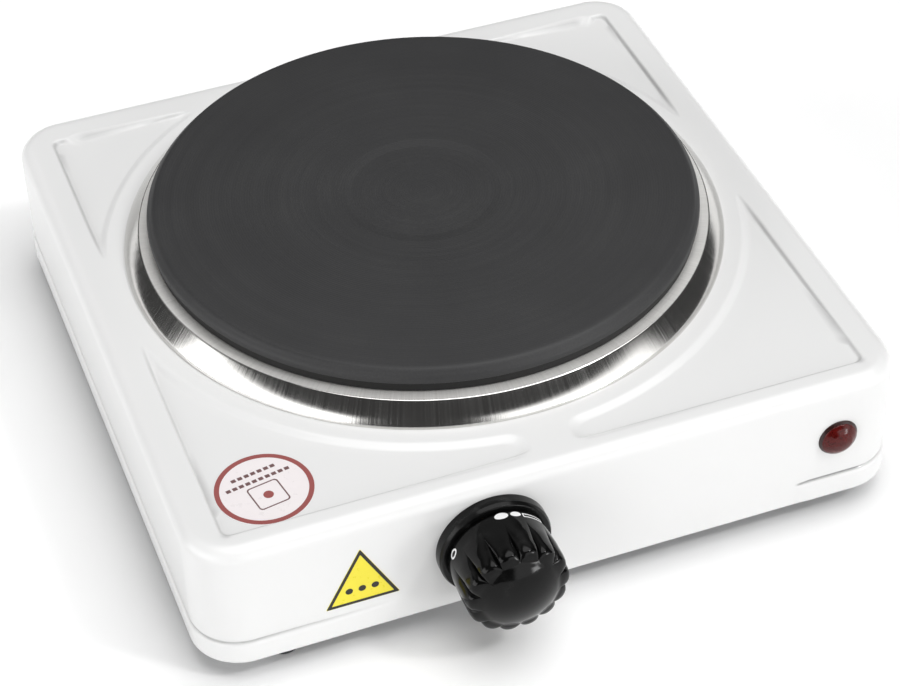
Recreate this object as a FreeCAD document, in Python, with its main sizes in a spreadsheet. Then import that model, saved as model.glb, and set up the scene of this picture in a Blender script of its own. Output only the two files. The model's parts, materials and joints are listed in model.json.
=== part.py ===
"""Single-plate electric hot plate burner, modelled as the pieces it comes apart into.

Millimetres, +Z up.  The origin is under the middle of the whole object, on the surface that the
feet stand on.  +Y runs from the knob towards the rear wall and +X to the right of someone who
faces the knob.
"""
import FreeCAD
import Part
import math
import os
from types import SimpleNamespace

import Sketcher
from FreeCAD import Placement, Rotation, Vector

doc = FreeCAD.newDocument("HotPlate")

# ---------------------------------------------------------------- driving dimensions

SIZES = [
    ("body_wide", 235.2, "upper wall, left to right"),
    ("body_deep", 233.4, "upper wall, front to rear"),
    ("body_tall", 46.3, "lower rim to flat top"),
    ("rim_up", 8.0, "lower rim above the surface"),
    ("wall", 0.9, "housing sheet"),
    ("corner_round", 16.0, "upright corners, in plan"),
    ("top_round", 5.0, "edge between walls and top"),
    ("band_tall", 8.0, "band along the lower rim"),
    ("band_proud", 0.4, "band stands out of the wall"),
    ("panel_deep", 1.2, "corner panels sink into the top"),
    ("panel_side", 106.5, "panel edge from the plate axis, left and right"),
    ("panel_front", 116.9, "panel edge from the plate axis, front"),
    ("panel_rear", 95.0, "panel edge from the plate axis, rear"),
    ("panel_arc", 106.7, "panel edge around the plate"),
    ("panel_round", 4.0, "panel corners"),
    ("bridge_front", 6.5, "half the flat between the front panels"),
    ("bridge_side", 21.5, "half the flat between side tips"),
    ("bridge_rear", 52.0, "half the flat between the rear panels"),
    ("plate_radius", 92.5, "cooking plate"),
    ("plate_over", 15.8, "cooking face above the flat top"),
    ("plate_back", 8.8, "plate axis behind the body's middle"),
    ("plate_body", 83.5, "plate below its rim, radius"),
    ("opening_radius", 90.0, "hole in the top for the plate"),
    ("ring_radius", 101.2, "trim ring, outer edge"),
    ("ring_sheet", 0.8, "trim ring sheet"),
    ("ring_ledge", 7.4, "ring's inner ledge above the flat top"),
    ("stud_radius", 4.0, "centre stud"),
    ("strap_sheet", 1.5, "clamp bridge strap"),
    ("strap_half", 12.0, "half the clamp bridge's breadth"),
    ("strap_drop", 22.0, "clamp bridge's underside below the flat top"),
    ("base_sheet", 0.8, "base plate"),
    ("base_up", 9.2, "base plate's underside above the surface"),
    ("base_gap", 0.5, "base plate to the band, all round"),
    ("foot_radius", 6.2, "foot, at its top"),
    ("foot_across", 90.25, "foot axis from the middle, left and right"),
    ("foot_inset", 10.75, "foot axis behind the front wall"),
    ("foot_stagger", 2.5, "front right foot further in than the others"),
    ("knob_across", -24.2, "knob axis, left to right"),
    ("knob_below", 23.4, "knob axis below the flat top"),
    ("knob_reach", 28.5, "knob's tip out of the front wall"),
    ("knob_radius", 16.4, "knob, at its base"),
    ("knob_base", 5.0, "knob's base out of the front wall"),
    ("bezel_radius", 18.4, "fixed ring behind the knob"),
    ("bezel_deep", 4.5, "fixed ring out of the front wall"),
    ("spindle_radius", 3.05, "thermostat spindle"),
    ("fit", 0.05, "radial play between shaft and bore"),
    ("lamp_across", 93.8, "lamp axis, left to right"),
    ("lamp_below", 21.4, "lamp axis below the flat top"),
    ("lamp_radius", 6.75, "lamp's flange"),
    ("gland_across", 60.0, "cable gland axis, left to right"),
    ("gland_up", 30.0, "cable gland axis above the surface"),
    ("gland_reach", 3.0, "cable gland out of the rear wall"),
    ("gland_bore", 3.7, "cable gland bore, radius"),
    ("wire_radius", 1.2, "inner wires"),
]

sheet = doc.addObject("Spreadsheet::Sheet", "Sizes")
for row, (alias, number, note) in enumerate(SIZES, start=1):
    sheet.set(f"A{row}", alias)
    sheet.set(f"B{row}", str(number))
    sheet.set(f"C{row}", note)
    sheet.setAlias(f"B{row}", alias)
doc.recompute()


class Size:
    """A length held both as a number and as the sheet expression that gives it."""

    def __init__(self, number, text):
        self.number = number
        self.text = text

    def _with(self, sign, other, number):
        return Size(number, f"({self.text} {sign} {size(other).text})")

    def __add__(self, other):
        return self._with("+", other, self.number + size(other).number)

    def __sub__(self, other):
        return self._with("-", other, self.number - size(other).number)

    def __mul__(self, other):
        return self._with("*", other, self.number * size(other).number)

    def __truediv__(self, other):
        return self._with("/", other, self.number / size(other).number)

    def __neg__(self):
        return Size(-self.number, f"(0 - {self.text})")

    def __radd__(self, other):
        return size(other) + self

    def __rsub__(self, other):
        return size(other) - self

    def __rmul__(self, other):
        return size(other) * self


def size(value):
    return value if isinstance(value, Size) else Size(value, repr(float(value)))


def num(value):
    return size(value).number


def root(value):
    return Size(math.sqrt(value.number), f"sqrt({value.text})")


dim = SimpleNamespace(**{alias: Size(number, f"Sizes.{alias}") for alias, number, note in SIZES})

# Planes and axes that several pieces share.
top_z = dim.rim_up + dim.body_tall
body_y = (dim.knob_reach - dim.gland_reach) / 2
front_y = body_y - dim.body_deep / 2
rear_y = body_y + dim.body_deep / 2
plate_y = body_y + dim.plate_back
knob_z = top_z - dim.knob_below
lamp_z = top_z - dim.lamp_below
base_top = dim.base_up + dim.base_sheet
foot_front = front_y + dim.foot_inset
foot_rear = rear_y - dim.foot_inset
FOOT_SPOTS = {
    "front_left": (-dim.foot_across, foot_front),
    "front_right": (dim.foot_across, foot_front + dim.foot_stagger),
    "rear_left": (-dim.foot_across, foot_rear),
    "rear_right": (dim.foot_across, foot_rear),
}

# ---------------------------------------------------------------- building blocks

nodes = []


def node(thing, name):
    """Name a finished piece and keep it for export."""
    thing.Label = name
    nodes.append(thing)
    return thing


def bind(thing, path, value):
    thing.setExpression(path, size(value).text)


def place(thing, x=0, y=0, z=0, turn=None):
    """Put a piece at x, y, z, bound to the sheet; turn is a fixed Rotation."""
    thing.Placement = Placement(Vector(num(x), num(y), num(z)), turn or Rotation())
    bind(thing, "Placement.Base.x", x)
    bind(thing, "Placement.Base.y", y)
    bind(thing, "Placement.Base.z", z)
    return thing


ALONG = {
    "x": Rotation(Vector(0, 1, 0), 90),
    "y": Rotation(Vector(1, 0, 0), -90),
    "z": Rotation(),
}


def rod(name, radius, length, x, y, z, along="z"):
    """Round bar that starts at x, y, z and runs along an axis."""
    thing = doc.addObject("Part::Cylinder", name)
    bind(thing, "Radius", radius)
    bind(thing, "Height", length)
    return place(thing, x, y, z, ALONG[along])


def block(name, low, high):
    """Box between two corners, each a tuple of three sizes."""
    thing = doc.addObject("Part::Box", name)
    for side, start, end in zip(("Length", "Width", "Height"), low, high):
        bind(thing, side, size(end) - start)
    return place(thing, *low)


def cut(name, base, tool):
    thing = doc.addObject("Part::Cut", name)
    thing.Base = base
    thing.Tool = tool
    return thing


def fuse(name, parts):
    thing = doc.addObject("Part::MultiFuse", name)
    thing.Shapes = parts
    thing.Refine = True
    return thing


def group(name, parts):
    """Several separate solids that share one node."""
    thing = doc.addObject("Part::Compound", name)
    thing.Links = parts
    return thing


def tube(name, radius, bore, length, x, y, z, along="z"):
    outer = rod(name + "_outer", radius, length, x, y, z, along)
    inner = rod(name + "_bore", bore, length, x, y, z, along)
    return cut(name, outer, inner)


def new_body(name):
    return doc.addObject("PartDesign::Body", name)


def new_sketch(body, name, role, offset=0):
    """Sketch on one of the body's own origin planes, moved along that plane's normal."""
    sketch = body.newObject("Sketcher::SketchObject", name)
    base = next(item for item in body.Origin.OriginFeatures if item.Role == role)
    sketch.AttachmentSupport = [(base, "")]
    sketch.MapMode = "FlatFace"
    bind(sketch, "AttachmentOffset.Base.z", offset)
    return sketch


def pinned(curve, spot, x, y):
    """Constraints that hold a sketch point at x, y, each with the size that it is bound to."""
    rules = []
    for kind, axis, value in (("DistanceX", -2, x), ("DistanceY", -1, y)):
        if num(value) == 0:
            rules.append((Sketcher.Constraint("PointOnObject", curve, spot, axis), None))
        else:
            rules.append((Sketcher.Constraint(kind, -1, 1, curve, spot, num(value)), value))
    return rules


def round_rule(curve, radius):
    return Sketcher.Constraint("Radius", curve, num(radius)), radius


def add_rules(sketch, rules):
    """Add the constraints in one step and bind those that carry a size."""
    first = sketch.ConstraintCount
    sketch.addConstraint([rule for rule, value in rules])
    for index, (rule, value) in enumerate(rules, start=first):
        if value is not None:
            bind(sketch, f"Constraints[{index}]", value)


def circle(sketch, x, y, radius):
    shape = Part.Circle(Vector(num(x), num(y), 0), Vector(0, 0, 1), num(radius))
    curve = sketch.addGeometry(shape)
    add_rules(sketch, pinned(curve, 3, x, y) + [round_rule(curve, radius)])


def arc_between(start, end, radius, side):
    """Arc from start to end, and which of its own ends (1 or 2) each of the two is."""
    chord = end - start
    left = Vector(-chord.y, chord.x, 0).normalize()
    rise = math.sqrt(radius ** 2 - (chord.Length / 2) ** 2)
    centre = (start + end) * 0.5 + left * rise * side
    first, last = (start, end) if side > 0 else (end, start)
    arc = Part.ArcOfCircle(
        Part.Circle(centre, Vector(0, 0, 1), radius),
        math.atan2(first.y - centre.y, first.x - centre.x),
        math.atan2(last.y - centre.y, last.x - centre.x))
    return arc, (1, 2) if side > 0 else (2, 1)


def outline(sketch, corners):
    """Closed loop.  A corner is (x, y), followed by a line, or (x, y, radius, side), followed by
    an arc that bulges to the right (side 1) or left (side -1) of the way the loop runs."""
    spots = [Vector(num(corner[0]), num(corner[1]), 0) for corner in corners]
    first = sketch.GeometryCount
    curves = []
    ends = []
    rules = []
    for index, corner in enumerate(corners):
        start = spots[index]
        end = spots[(index + 1) % len(spots)]
        if len(corner) == 2:
            curves.append(Part.LineSegment(start, end))
            ends.append((1, 2))
        else:
            arc, order = arc_between(start, end, num(corner[2]), corner[3])
            curves.append(arc)
            ends.append(order)
            rules.append(round_rule(first + index, corner[2]))
        rules += pinned(first + index, ends[-1][0], corner[0], corner[1])
    for index, (start, end) in enumerate(ends):
        after = (index + 1) % len(ends)
        rules.append((Sketcher.Constraint("Coincident", first + index, end,
                                          first + after, ends[after][0]), None))
    sketch.addGeometry(curves)
    add_rules(sketch, rules)


def rounded(sketch, half_x, low_y, high_y, radius):
    """Rectangle with round corners, centred on x = 0."""
    outline(sketch, [
        (-half_x + radius, low_y),
        (half_x - radius, low_y, radius, 1),
        (half_x, low_y + radius),
        (half_x, high_y - radius, radius, 1),
        (half_x - radius, high_y),
        (-half_x + radius, high_y, radius, 1),
        (-half_x, high_y - radius),
        (-half_x, low_y + radius, radius, 1),
    ])


def grow(body, kind, sketch, name, length, reverse=False, middle=False):
    """Pad or Pocket of a sketch."""
    feature = body.newObject(f"PartDesign::{kind}", name)
    feature.Profile = sketch
    bind(feature, "Length", length)
    feature.Reversed = reverse
    if middle:
        feature.Midplane = True
    return feature


def pad(body, sketch, name, length, reverse=False, middle=False):
    return grow(body, "Pad", sketch, name, length, reverse, middle)


def pocket(body, sketch, name, length, reverse=False):
    """Cut, and stop if nothing was taken away."""
    doc.recompute()
    before = body.Shape.Volume
    feature = grow(body, "Pocket", sketch, name, length, reverse)
    doc.recompute()
    if body.Shape.Volume > before - 0.01:
        raise RuntimeError(f"{name} cut nothing")
    return feature


def spin(body, sketch, name):
    """Turn a sketch about its upright axis."""
    feature = body.newObject("PartDesign::Revolution", name)
    feature.Profile = sketch
    feature.ReferenceAxis = (sketch, ["V_Axis"])
    feature.Angle = 360
    return feature


def turned(name, profile, role="XZ_Plane"):
    """Body of revolution: about Z for the XZ plane, about Y for the XY plane."""
    body = new_body(name)
    sketch = new_sketch(body, name + "_profile", role)
    outline(sketch, profile)
    spin(body, sketch, name + "_turn")
    return body


def soften(body, name, radius, chosen, kind="Fillet"):
    """Round or bevel the edges that chosen(edge) picks."""
    doc.recompute()
    base = body.Tip
    picked = [f"Edge{number}" for number, edge in enumerate(base.Shape.Edges, start=1)
              if chosen(edge)]
    feature = body.newObject(f"PartDesign::{kind}", name)
    feature.Base = (base, picked)
    bind(feature, "Radius" if kind == "Fillet" else "Size", radius)
    return feature


def at_height(height):
    """Picks the edges that lie in the plane z = height."""
    def chosen(edge):
        box = edge.BoundBox
        return abs(box.ZMin - num(height)) < 1e-3 and abs(box.ZMax - num(height)) < 1e-3
    return chosen


def hexagon(sketch, x, y, across):
    """Six-sided outline, across its flats."""
    reach = size(across) / math.sqrt(3)
    corners = []
    for step in range(6):
        angle = math.radians(60 * step)
        corners.append((size(x) + reach * math.cos(angle), size(y) + reach * math.sin(angle)))
    outline(sketch, corners)


def hex_nut(name, across, bore, tall, role="XY_Plane"):
    body = new_body(name)
    sketch = new_sketch(body, name + "_outline", role)
    hexagon(sketch, 0, 0, across)
    circle(sketch, 0, 0, bore)
    pad(body, sketch, name + "_pad", tall)
    return body


# ---------------------------------------------------------------- housing

# Stretch of the front wall where the band runs flush, behind the knob.
PLAIN_FRONT = (-56.0, 82.0)


def panel_loops(sketch, extra):
    """The four corner panels' outlines, grown by extra all round."""
    side = dim.panel_side + extra
    front = dim.panel_front + extra
    rear = dim.panel_rear + extra
    arc = dim.panel_arc - extra
    bend = dim.panel_round + extra
    tip = dim.bridge_side - extra
    near = dim.bridge_front - extra
    far = dim.bridge_rear - extra
    tip_x = root(arc * arc - tip * tip)
    for hand in (1, -1):
        outline(sketch, [
            (near * hand, plate_y - front),
            ((side - bend) * hand, plate_y - front, bend, hand),
            (side * hand, plate_y - front + bend),
            (side * hand, plate_y - tip),
            (tip_x * hand, plate_y - tip, arc, -hand),
            (near * hand, plate_y - root(arc * arc - near * near)),
        ])
        outline(sketch, [
            (side * hand, plate_y + tip),
            (side * hand, plate_y + rear - bend, bend, hand),
            ((side - bend) * hand, plate_y + rear),
            (far * hand, plate_y + rear),
            (far * hand, plate_y + root(arc * arc - far * far), arc, -hand),
            (tip_x * hand, plate_y + tip),
        ])


def make_top_housing():
    """Pressed and enamelled sheet steel shell, open underneath."""
    body = new_body("top_housing")
    half = dim.body_wide / 2
    band = new_sketch(body, "band_plan", "XY_Plane", dim.rim_up)
    rounded(band, half + dim.band_proud, front_y - dim.band_proud,
            rear_y + dim.band_proud, dim.corner_round + dim.band_proud)
    pad(body, band, "band", dim.band_tall)
    upper = new_sketch(body, "wall_plan", "XY_Plane", dim.rim_up)
    rounded(upper, half, front_y, rear_y, dim.corner_round)
    pad(body, upper, "walls", dim.body_tall)

    plain = new_sketch(body, "plain_front_plan", "XY_Plane", dim.rim_up)
    outline(plain, [(PLAIN_FRONT[0], front_y - 2), (PLAIN_FRONT[1], front_y - 2),
                    (PLAIN_FRONT[1], front_y), (PLAIN_FRONT[0], front_y)])
    pocket(body, plain, "plain_front", dim.band_tall, reverse=True)

    inner = half - dim.wall
    hollow = new_sketch(body, "hollow_plan", "XY_Plane", dim.rim_up)
    rounded(hollow, inner, front_y + dim.wall, rear_y - dim.wall, dim.corner_round - dim.wall)
    pocket(body, hollow, "hollow", dim.body_tall - dim.wall, reverse=True)
    lower = new_sketch(body, "band_hollow_plan", "XY_Plane", dim.rim_up)
    rounded(lower, inner + dim.band_proud, front_y + dim.wall - dim.band_proud,
            rear_y - dim.wall + dim.band_proud, dim.corner_round - dim.wall + dim.band_proud)
    pocket(body, lower, "band_hollow", dim.band_tall - dim.wall, reverse=True)
    soften(body, "top_edge_inside", dim.top_round - dim.wall, at_height(top_z - dim.wall))
    soften(body, "top_edge", dim.top_round, at_height(top_z))

    backing = new_sketch(body, "panel_backing_plan", "XY_Plane", top_z - dim.wall)
    panel_loops(backing, dim.wall)
    pad(body, backing, "panel_backing", dim.panel_deep, reverse=True)
    panels = new_sketch(body, "panel_plan", "XY_Plane", top_z)
    panel_loops(panels, 0)
    pocket(body, panels, "panels", dim.panel_deep)

    opening = new_sketch(body, "plate_opening_plan", "XY_Plane", top_z)
    circle(opening, 0, plate_y, dim.opening_radius)
    pocket(body, opening, "plate_opening", dim.wall * 2)

    front_holes = new_sketch(body, "front_hole_plan", "XZ_Plane", 1 - front_y)
    circle(front_holes, dim.knob_across, knob_z, BUSH_RADIUS + 0.2)
    circle(front_holes, dim.lamp_across, lamp_z, LAMP_BARREL + 0.1)
    pocket(body, front_holes, "front_holes", dim.wall + 2)
    rear_hole = new_sketch(body, "rear_hole_plan", "XZ_Plane", -1 - rear_y)
    circle(rear_hole, dim.gland_across, dim.gland_up, GLAND_NECK + 0.1)
    pocket(body, rear_hole, "rear_hole", dim.wall + 2, reverse=True)
    return node(body, "top_housing")


def make_base_plate():
    """Flat sheet that closes the housing from below, with two fields of vent slots."""
    body = new_body("base_plate")
    reach = dim.body_wide / 2 + dim.band_proud - dim.wall - dim.base_gap
    low = front_y - dim.band_proud + dim.wall + dim.base_gap
    high = rear_y + dim.band_proud - dim.wall - dim.base_gap
    plan = new_sketch(body, "base_plan", "XY_Plane", dim.base_up)
    rounded(plan, reach, low, high, dim.corner_round - dim.wall)
    pad(body, plan, "base", dim.base_sheet)
    slots = new_sketch(body, "slot_plan", "XY_Plane", base_top)
    for column in (-1, 1):
        for step in range(9):
            y = body_y + (step - 4) * SLOT_PITCH
            left = column * SLOT_MIDDLE - SLOT_LONG / 2
            right = column * SLOT_MIDDLE + SLOT_LONG / 2
            outline(slots, [
                (left, y - SLOT_HALF),
                (right, y - SLOT_HALF, SLOT_END, 1),
                (right, y + SLOT_HALF),
                (left, y + SLOT_HALF, SLOT_END, 1),
            ])
    pocket(body, slots, "slots", dim.base_sheet)
    holes = new_sketch(body, "screw_hole_plan", "XY_Plane", base_top)
    for x, y in FOOT_SPOTS.values():
        circle(holes, x, y, SCREW_RADIUS + 0.2)
    pocket(body, holes, "screw_holes", dim.base_sheet)
    return node(body, "base_plate")


# Vent slots in the base.
SLOT_PITCH = 11.0
SLOT_MIDDLE = 38.0
SLOT_LONG = 46.0
SLOT_HALF = 1.6
SLOT_END = 1.8

# Foot screws: shank and head.
SCREW_RADIUS = 1.5
SCREW_HEAD = 2.6
SCREW_HEAD_TALL = 1.8
SCREW_LONG = 9.0
FOOT_SEAT = 5.4


def make_feet():
    """Moulded rubber feet with a screw pocket in each."""
    for place_name, (x, y) in FOOT_SPOTS.items():
        body = turned("foot_" + place_name, [
            (SCREW_HEAD + 0.6, 0),
            (dim.foot_radius - 1.4, 0),
            (dim.foot_radius - 0.8, 0.8),
            (dim.foot_radius, dim.base_up),
            (SCREW_RADIUS + 0.1, dim.base_up),
            (SCREW_RADIUS + 0.1, FOOT_SEAT),
            (SCREW_HEAD + 0.6, FOOT_SEAT),
        ])
        place(body, x, y)
        node(body, "foot_" + place_name)


def make_foot_screws():
    parts = []
    for place_name, (x, y) in FOOT_SPOTS.items():
        head = rod("screw_head_" + place_name, SCREW_HEAD, SCREW_HEAD_TALL,
                   x, y, FOOT_SEAT - SCREW_HEAD_TALL)
        shank = rod("screw_shank_" + place_name, SCREW_RADIUS, SCREW_LONG, x, y, FOOT_SEAT)
        parts.append(fuse("screw_" + place_name, [head, shank]))
    node(group("foot_screws", parts), "foot_screws")


# Brackets that the foot screws bite into.
BRACKET_HALF = 8.0
BRACKET_SHEET = 1.2
BRACKET_TALL = 12.0
BRACKET_DEEP = 22.0


def make_corner_brackets():
    """Folded tabs welded inside the front and rear walls, above the feet."""
    parts = []
    for place_name, (x, y) in FOOT_SPOTS.items():
        if place_name.startswith("front"):
            low, high = front_y + dim.wall, front_y + dim.wall + BRACKET_DEEP
            leg = (low, low + BRACKET_SHEET)
        else:
            low, high = rear_y - dim.wall - BRACKET_DEEP, rear_y - dim.wall
            leg = (high - BRACKET_SHEET, high)
        tab = block("tab_" + place_name, (x - BRACKET_HALF, low, base_top),
                    (x + BRACKET_HALF, high, base_top + BRACKET_SHEET))
        upright = block("leg_" + place_name, (x - BRACKET_HALF, leg[0], base_top),
                        (x + BRACKET_HALF, leg[1], base_top + BRACKET_TALL))
        bracket = fuse("bracket_" + place_name, [tab, upright])
        hole = rod("bracket_hole_" + place_name, SCREW_RADIUS + 0.05, BRACKET_SHEET,
                   x, y, base_top)
        parts.append(cut("drilled_bracket_" + place_name, bracket, hole))
    node(group("corner_brackets", parts), "corner_brackets")


# ---------------------------------------------------------------- cooking plate

PLATE_UNDER = -4.0
HUB_RADIUS = 14.0
HUB_UNDER = -8.0
RIM_UNDER = 7.7
GROOVE_ROOF = 5.0
INNER_GROOVE = (36.0, 57.0)
OUTER_GROOVE = (62.0, 80.0)
COIL_RADIUS = 3.0
STUD_TOP = 5.8
STUD_FOOT = -34.0
COVER_SHEET = 0.8


def make_hotplate():
    """Cast iron disc: shallow middle, round rim, two ring grooves underneath and a tapped hub."""
    over = dim.plate_over
    body = turned("hotplate", [
        (0, over - 0.5),
        (26.2, over - 0.5),
        (26.8, over),
        (dim.plate_radius - 2.6, over, 3.2, -1),
        (dim.plate_radius, over - 2.8),
        (dim.plate_radius, RIM_UNDER),
        (dim.plate_radius - 4, RIM_UNDER),
        (dim.plate_radius - 4, dim.ring_ledge),
        (dim.plate_body, dim.ring_ledge),
        (dim.plate_body, PLATE_UNDER),
        (OUTER_GROOVE[1], PLATE_UNDER),
        (OUTER_GROOVE[1], GROOVE_ROOF),
        (OUTER_GROOVE[0], GROOVE_ROOF),
        (OUTER_GROOVE[0], PLATE_UNDER),
        (INNER_GROOVE[1], PLATE_UNDER),
        (INNER_GROOVE[1], GROOVE_ROOF),
        (INNER_GROOVE[0], GROOVE_ROOF),
        (INNER_GROOVE[0], PLATE_UNDER),
        (HUB_RADIUS, PLATE_UNDER),
        (HUB_RADIUS, HUB_UNDER),
        (dim.stud_radius + dim.fit, HUB_UNDER),
        (dim.stud_radius + dim.fit, STUD_TOP + 0.4),
        (0, STUD_TOP + 0.4),
    ])
    place(body, 0, plate_y, top_z)
    return node(body, "hotplate")


def make_trim_ring():
    """Pressed stainless ring: ledge under the plate's rim, steep flank, flat foot on the top."""
    ledge = dim.ring_ledge
    thick = dim.ring_sheet
    body = turned("trim_ring", [
        (dim.plate_body + 0.6, ledge - thick),
        (94.4, ledge - thick, 1.2, -1),
        (95.4, ledge - thick - 0.8),
        (98.0, 0.9, 1.4, 1),
        (99.2, 0),
        (dim.ring_radius, 0),
        (dim.ring_radius, 0.5),
        (dim.ring_radius - 0.4, thick),
        (99.4, thick, 0.8, -1),
        (98.9, 1.3),
        (96.2, ledge - 1.0, 2.0, 1),
        (94.6, ledge),
        (dim.plate_body + 0.6, ledge),
    ])
    place(body, 0, plate_y, top_z)
    return node(body, "trim_ring")


def make_heating():
    """Coils pressed into insulating powder in the two grooves."""
    for name, groove in (("inner", INNER_GROOVE), ("outer", OUTER_GROOVE)):
        middle = (groove[0] + groove[1]) / 2
        height = (GROOVE_ROOF + PLATE_UNDER) / 2
        coil = doc.addObject("Part::Torus", "coil_" + name)
        bind(coil, "Radius1", middle)
        bind(coil, "Radius2", COIL_RADIUS)
        place(coil, 0, plate_y, top_z + height)
        node(coil, "heating_coil_" + name)
        hollow = doc.addObject("Part::Torus", "coil_space_" + name)
        bind(hollow, "Radius1", middle)
        bind(hollow, "Radius2", COIL_RADIUS + 0.1)
        place(hollow, 0, plate_y, top_z + height)
        ring = tube("filling_ring_" + name, groove[1] - 0.1, groove[0] + 0.1,
                    GROOVE_ROOF - PLATE_UNDER - 0.4, 0, plate_y, top_z + PLATE_UNDER + 0.3)
        node(cut("coil_filling_" + name, ring, hollow), "coil_filling_" + name)


# Ceramic terminal block under the plate.
BLOCK_BACK = 46.5
BLOCK_HALF = (18.0, 9.0)
BLOCK_TALL = 12.0
PIN_PITCH = 11.0
PIN_HALF = (2.5, 0.4)
PIN_FOOT = -25.0


def make_plate_cover():
    """Sheet disc that closes the grooves, with openings for the hub and the terminals."""
    under = PLATE_UNDER - COVER_SHEET
    disc = tube("cover_disc", dim.plate_body - 1.5, HUB_RADIUS + 0.4, COVER_SHEET,
                0, plate_y, top_z + under)
    slot = block("cover_slot",
                 (-PIN_PITCH - 4, plate_y + BLOCK_BACK - 3, top_z + under),
                 (PIN_PITCH + 4, plate_y + BLOCK_BACK + 3, top_z + under + COVER_SHEET))
    return node(cut("plate_cover", disc, slot), "plate_cover")


def make_plate_terminals():
    roof = top_z + PLATE_UNDER - COVER_SHEET
    middle = plate_y + BLOCK_BACK
    ceramic = block("block_solid", (-BLOCK_HALF[0], middle - BLOCK_HALF[1], roof - BLOCK_TALL),
                    (BLOCK_HALF[0], middle + BLOCK_HALF[1], roof))
    slots = []
    pins = []
    for index in (-1, 0, 1):
        x = index * PIN_PITCH
        slots.append(block(f"pin_slot_{index + 2}",
                           (x - PIN_HALF[0] - 0.3, middle - PIN_HALF[1] - 0.3, roof - BLOCK_TALL),
                           (x + PIN_HALF[0] + 0.3, middle + PIN_HALF[1] + 0.3, roof)))
        pins.append(block(f"pin_{index + 2}",
                          (x - PIN_HALF[0], middle - PIN_HALF[1], top_z + PIN_FOOT),
                          (x + PIN_HALF[0], middle + PIN_HALF[1], top_z + PLATE_UNDER + 0.2)))
    node(cut("plate_terminal_block", ceramic, group("pin_slots", slots)),
         "plate_terminal_block")
    node(group("plate_terminal_pins", pins), "plate_terminal_pins")


def make_clamp():
    """Stud, strap, washer and nut that pull the plate and its ring down onto the housing."""
    stud = rod("centre_stud", dim.stud_radius, STUD_TOP - STUD_FOOT,
               0, plate_y, top_z + STUD_FOOT)
    node(stud, "centre_stud")
    strap = new_body("clamp_bridge")
    side_view = new_sketch(strap, "strap_side", "XZ_Plane")
    low = -dim.strap_drop
    thick = dim.strap_sheet
    roof = -dim.wall
    outline(side_view, [
        (-103, roof - thick),
        (-92, roof - thick),
        (-60, low),
        (60, low),
        (92, roof - thick),
        (103, roof - thick),
        (103, roof),
        (91, roof),
        (59, low + thick),
        (-59, low + thick),
        (-91, roof),
        (-103, roof),
    ])
    pad(strap, side_view, "strap", dim.strap_half * 2, middle=True)
    hole = new_sketch(strap, "strap_hole", "XY_Plane", low + thick)
    circle(hole, 0, 0, dim.stud_radius + 0.3)
    pocket(strap, hole, "stud_hole", thick)
    place(strap, 0, plate_y, top_z)
    node(strap, "clamp_bridge")
    washer = tube("stud_washer", 10.0, dim.stud_radius + 0.3, 1.6,
                  0, plate_y, top_z + low - 1.6)
    node(washer, "stud_washer")
    nut = hex_nut("stud_nut", 13.0, dim.stud_radius + dim.fit, 6.5)
    place(nut, 0, plate_y, top_z + low - 8.1)
    node(nut, "stud_nut")


# ---------------------------------------------------------------- thermostat and knob

BUSH_RADIUS = 4.9
BUSH_FLANGE = 8.0
BUSH_OUT = 4.0
BUSH_IN = 9.0
FRAME_SHEET = 1.2
FRAME_HALF = 13.0
FRAME_LEFT = 30.0
FRAME_RIGHT = 15.0
GUIDE_IN = 15.9
SPINDLE_IN = 12.0
SPINDLE_OUT = 20.0
FLAT_UP = 2.0
DISC_RADIUS = 6.5
DISC_IN = (9.4, 10.6)
FINGER_HALF = 2.6
FINGER_REACH = 10.5
PEG_HALF = 2.5
PEG_REACH = (8.7, 11.2)
STOP_ANGLE = 247.0
PIN_RADIUS = 1.5
PIN_IN = (12.9, 18.0)
STACK_LEFT = 22.0
STACK_RADIUS = 5.0
RIVET_RADIUS = 1.5
BLADE_HALF = 3.5
BLADE_IN = (18.3, 18.7)
FIXED_IN = (21.7, 22.3)
BIMETAL_IN = (24.5, 25.3)
STACK_END = 27.0
HINGE_LEFT = 16.0


def inside(depth):
    """Plane at a depth behind the front wall's outer face."""
    return front_y + depth


def behind(name, low_x, high_x, low_z, high_z, near, far):
    """Box given across and above the knob axis, between two depths behind the front face."""
    return block(name,
                 (dim.knob_across + low_x, inside(near), knob_z + low_z),
                 (dim.knob_across + high_x, inside(far), knob_z + high_z))


def at_knob(name, radius, near, far, x=0, z=0):
    """Round bar along Y, given across and above the knob axis."""
    return rod(name, radius, far - near, dim.knob_across + x, inside(near), knob_z + z, "y")


def make_knob_bezel():
    body = turned("knob_bezel", [
        (12.0, 0),
        (dim.bezel_radius, 0),
        (dim.bezel_radius, -dim.bezel_deep + 1.2),
        (dim.bezel_radius - 0.9, -dim.bezel_deep),
        (dim.knob_radius - 1.2, -dim.bezel_deep),
        (dim.knob_radius - 1.2, -2.0),
        (12.0, -2.0),
    ], "XY_Plane")
    place(body, dim.knob_across, front_y, knob_z)
    node(body, "knob_bezel")


def make_bush():
    body = turned("thermostat_bush", [
        (dim.spindle_radius + dim.fit, -BUSH_OUT),
        (BUSH_RADIUS, -BUSH_OUT),
        (BUSH_RADIUS, dim.wall + FRAME_SHEET),
        (BUSH_FLANGE, dim.wall + FRAME_SHEET),
        (BUSH_FLANGE, dim.wall + FRAME_SHEET + 1.5),
        (BUSH_RADIUS, dim.wall + FRAME_SHEET + 1.5),
        (BUSH_RADIUS, BUSH_IN),
        (dim.spindle_radius + dim.fit, BUSH_IN),
    ], "XY_Plane")
    place(body, dim.knob_across, front_y, knob_z)
    node(body, "thermostat_bush")
    nut = hex_nut("bush_nut", 14.0, BUSH_RADIUS + dim.fit, 2.4, "XZ_Plane")
    place(nut, dim.knob_across, front_y, knob_z)
    node(nut, "bush_nut")


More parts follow.
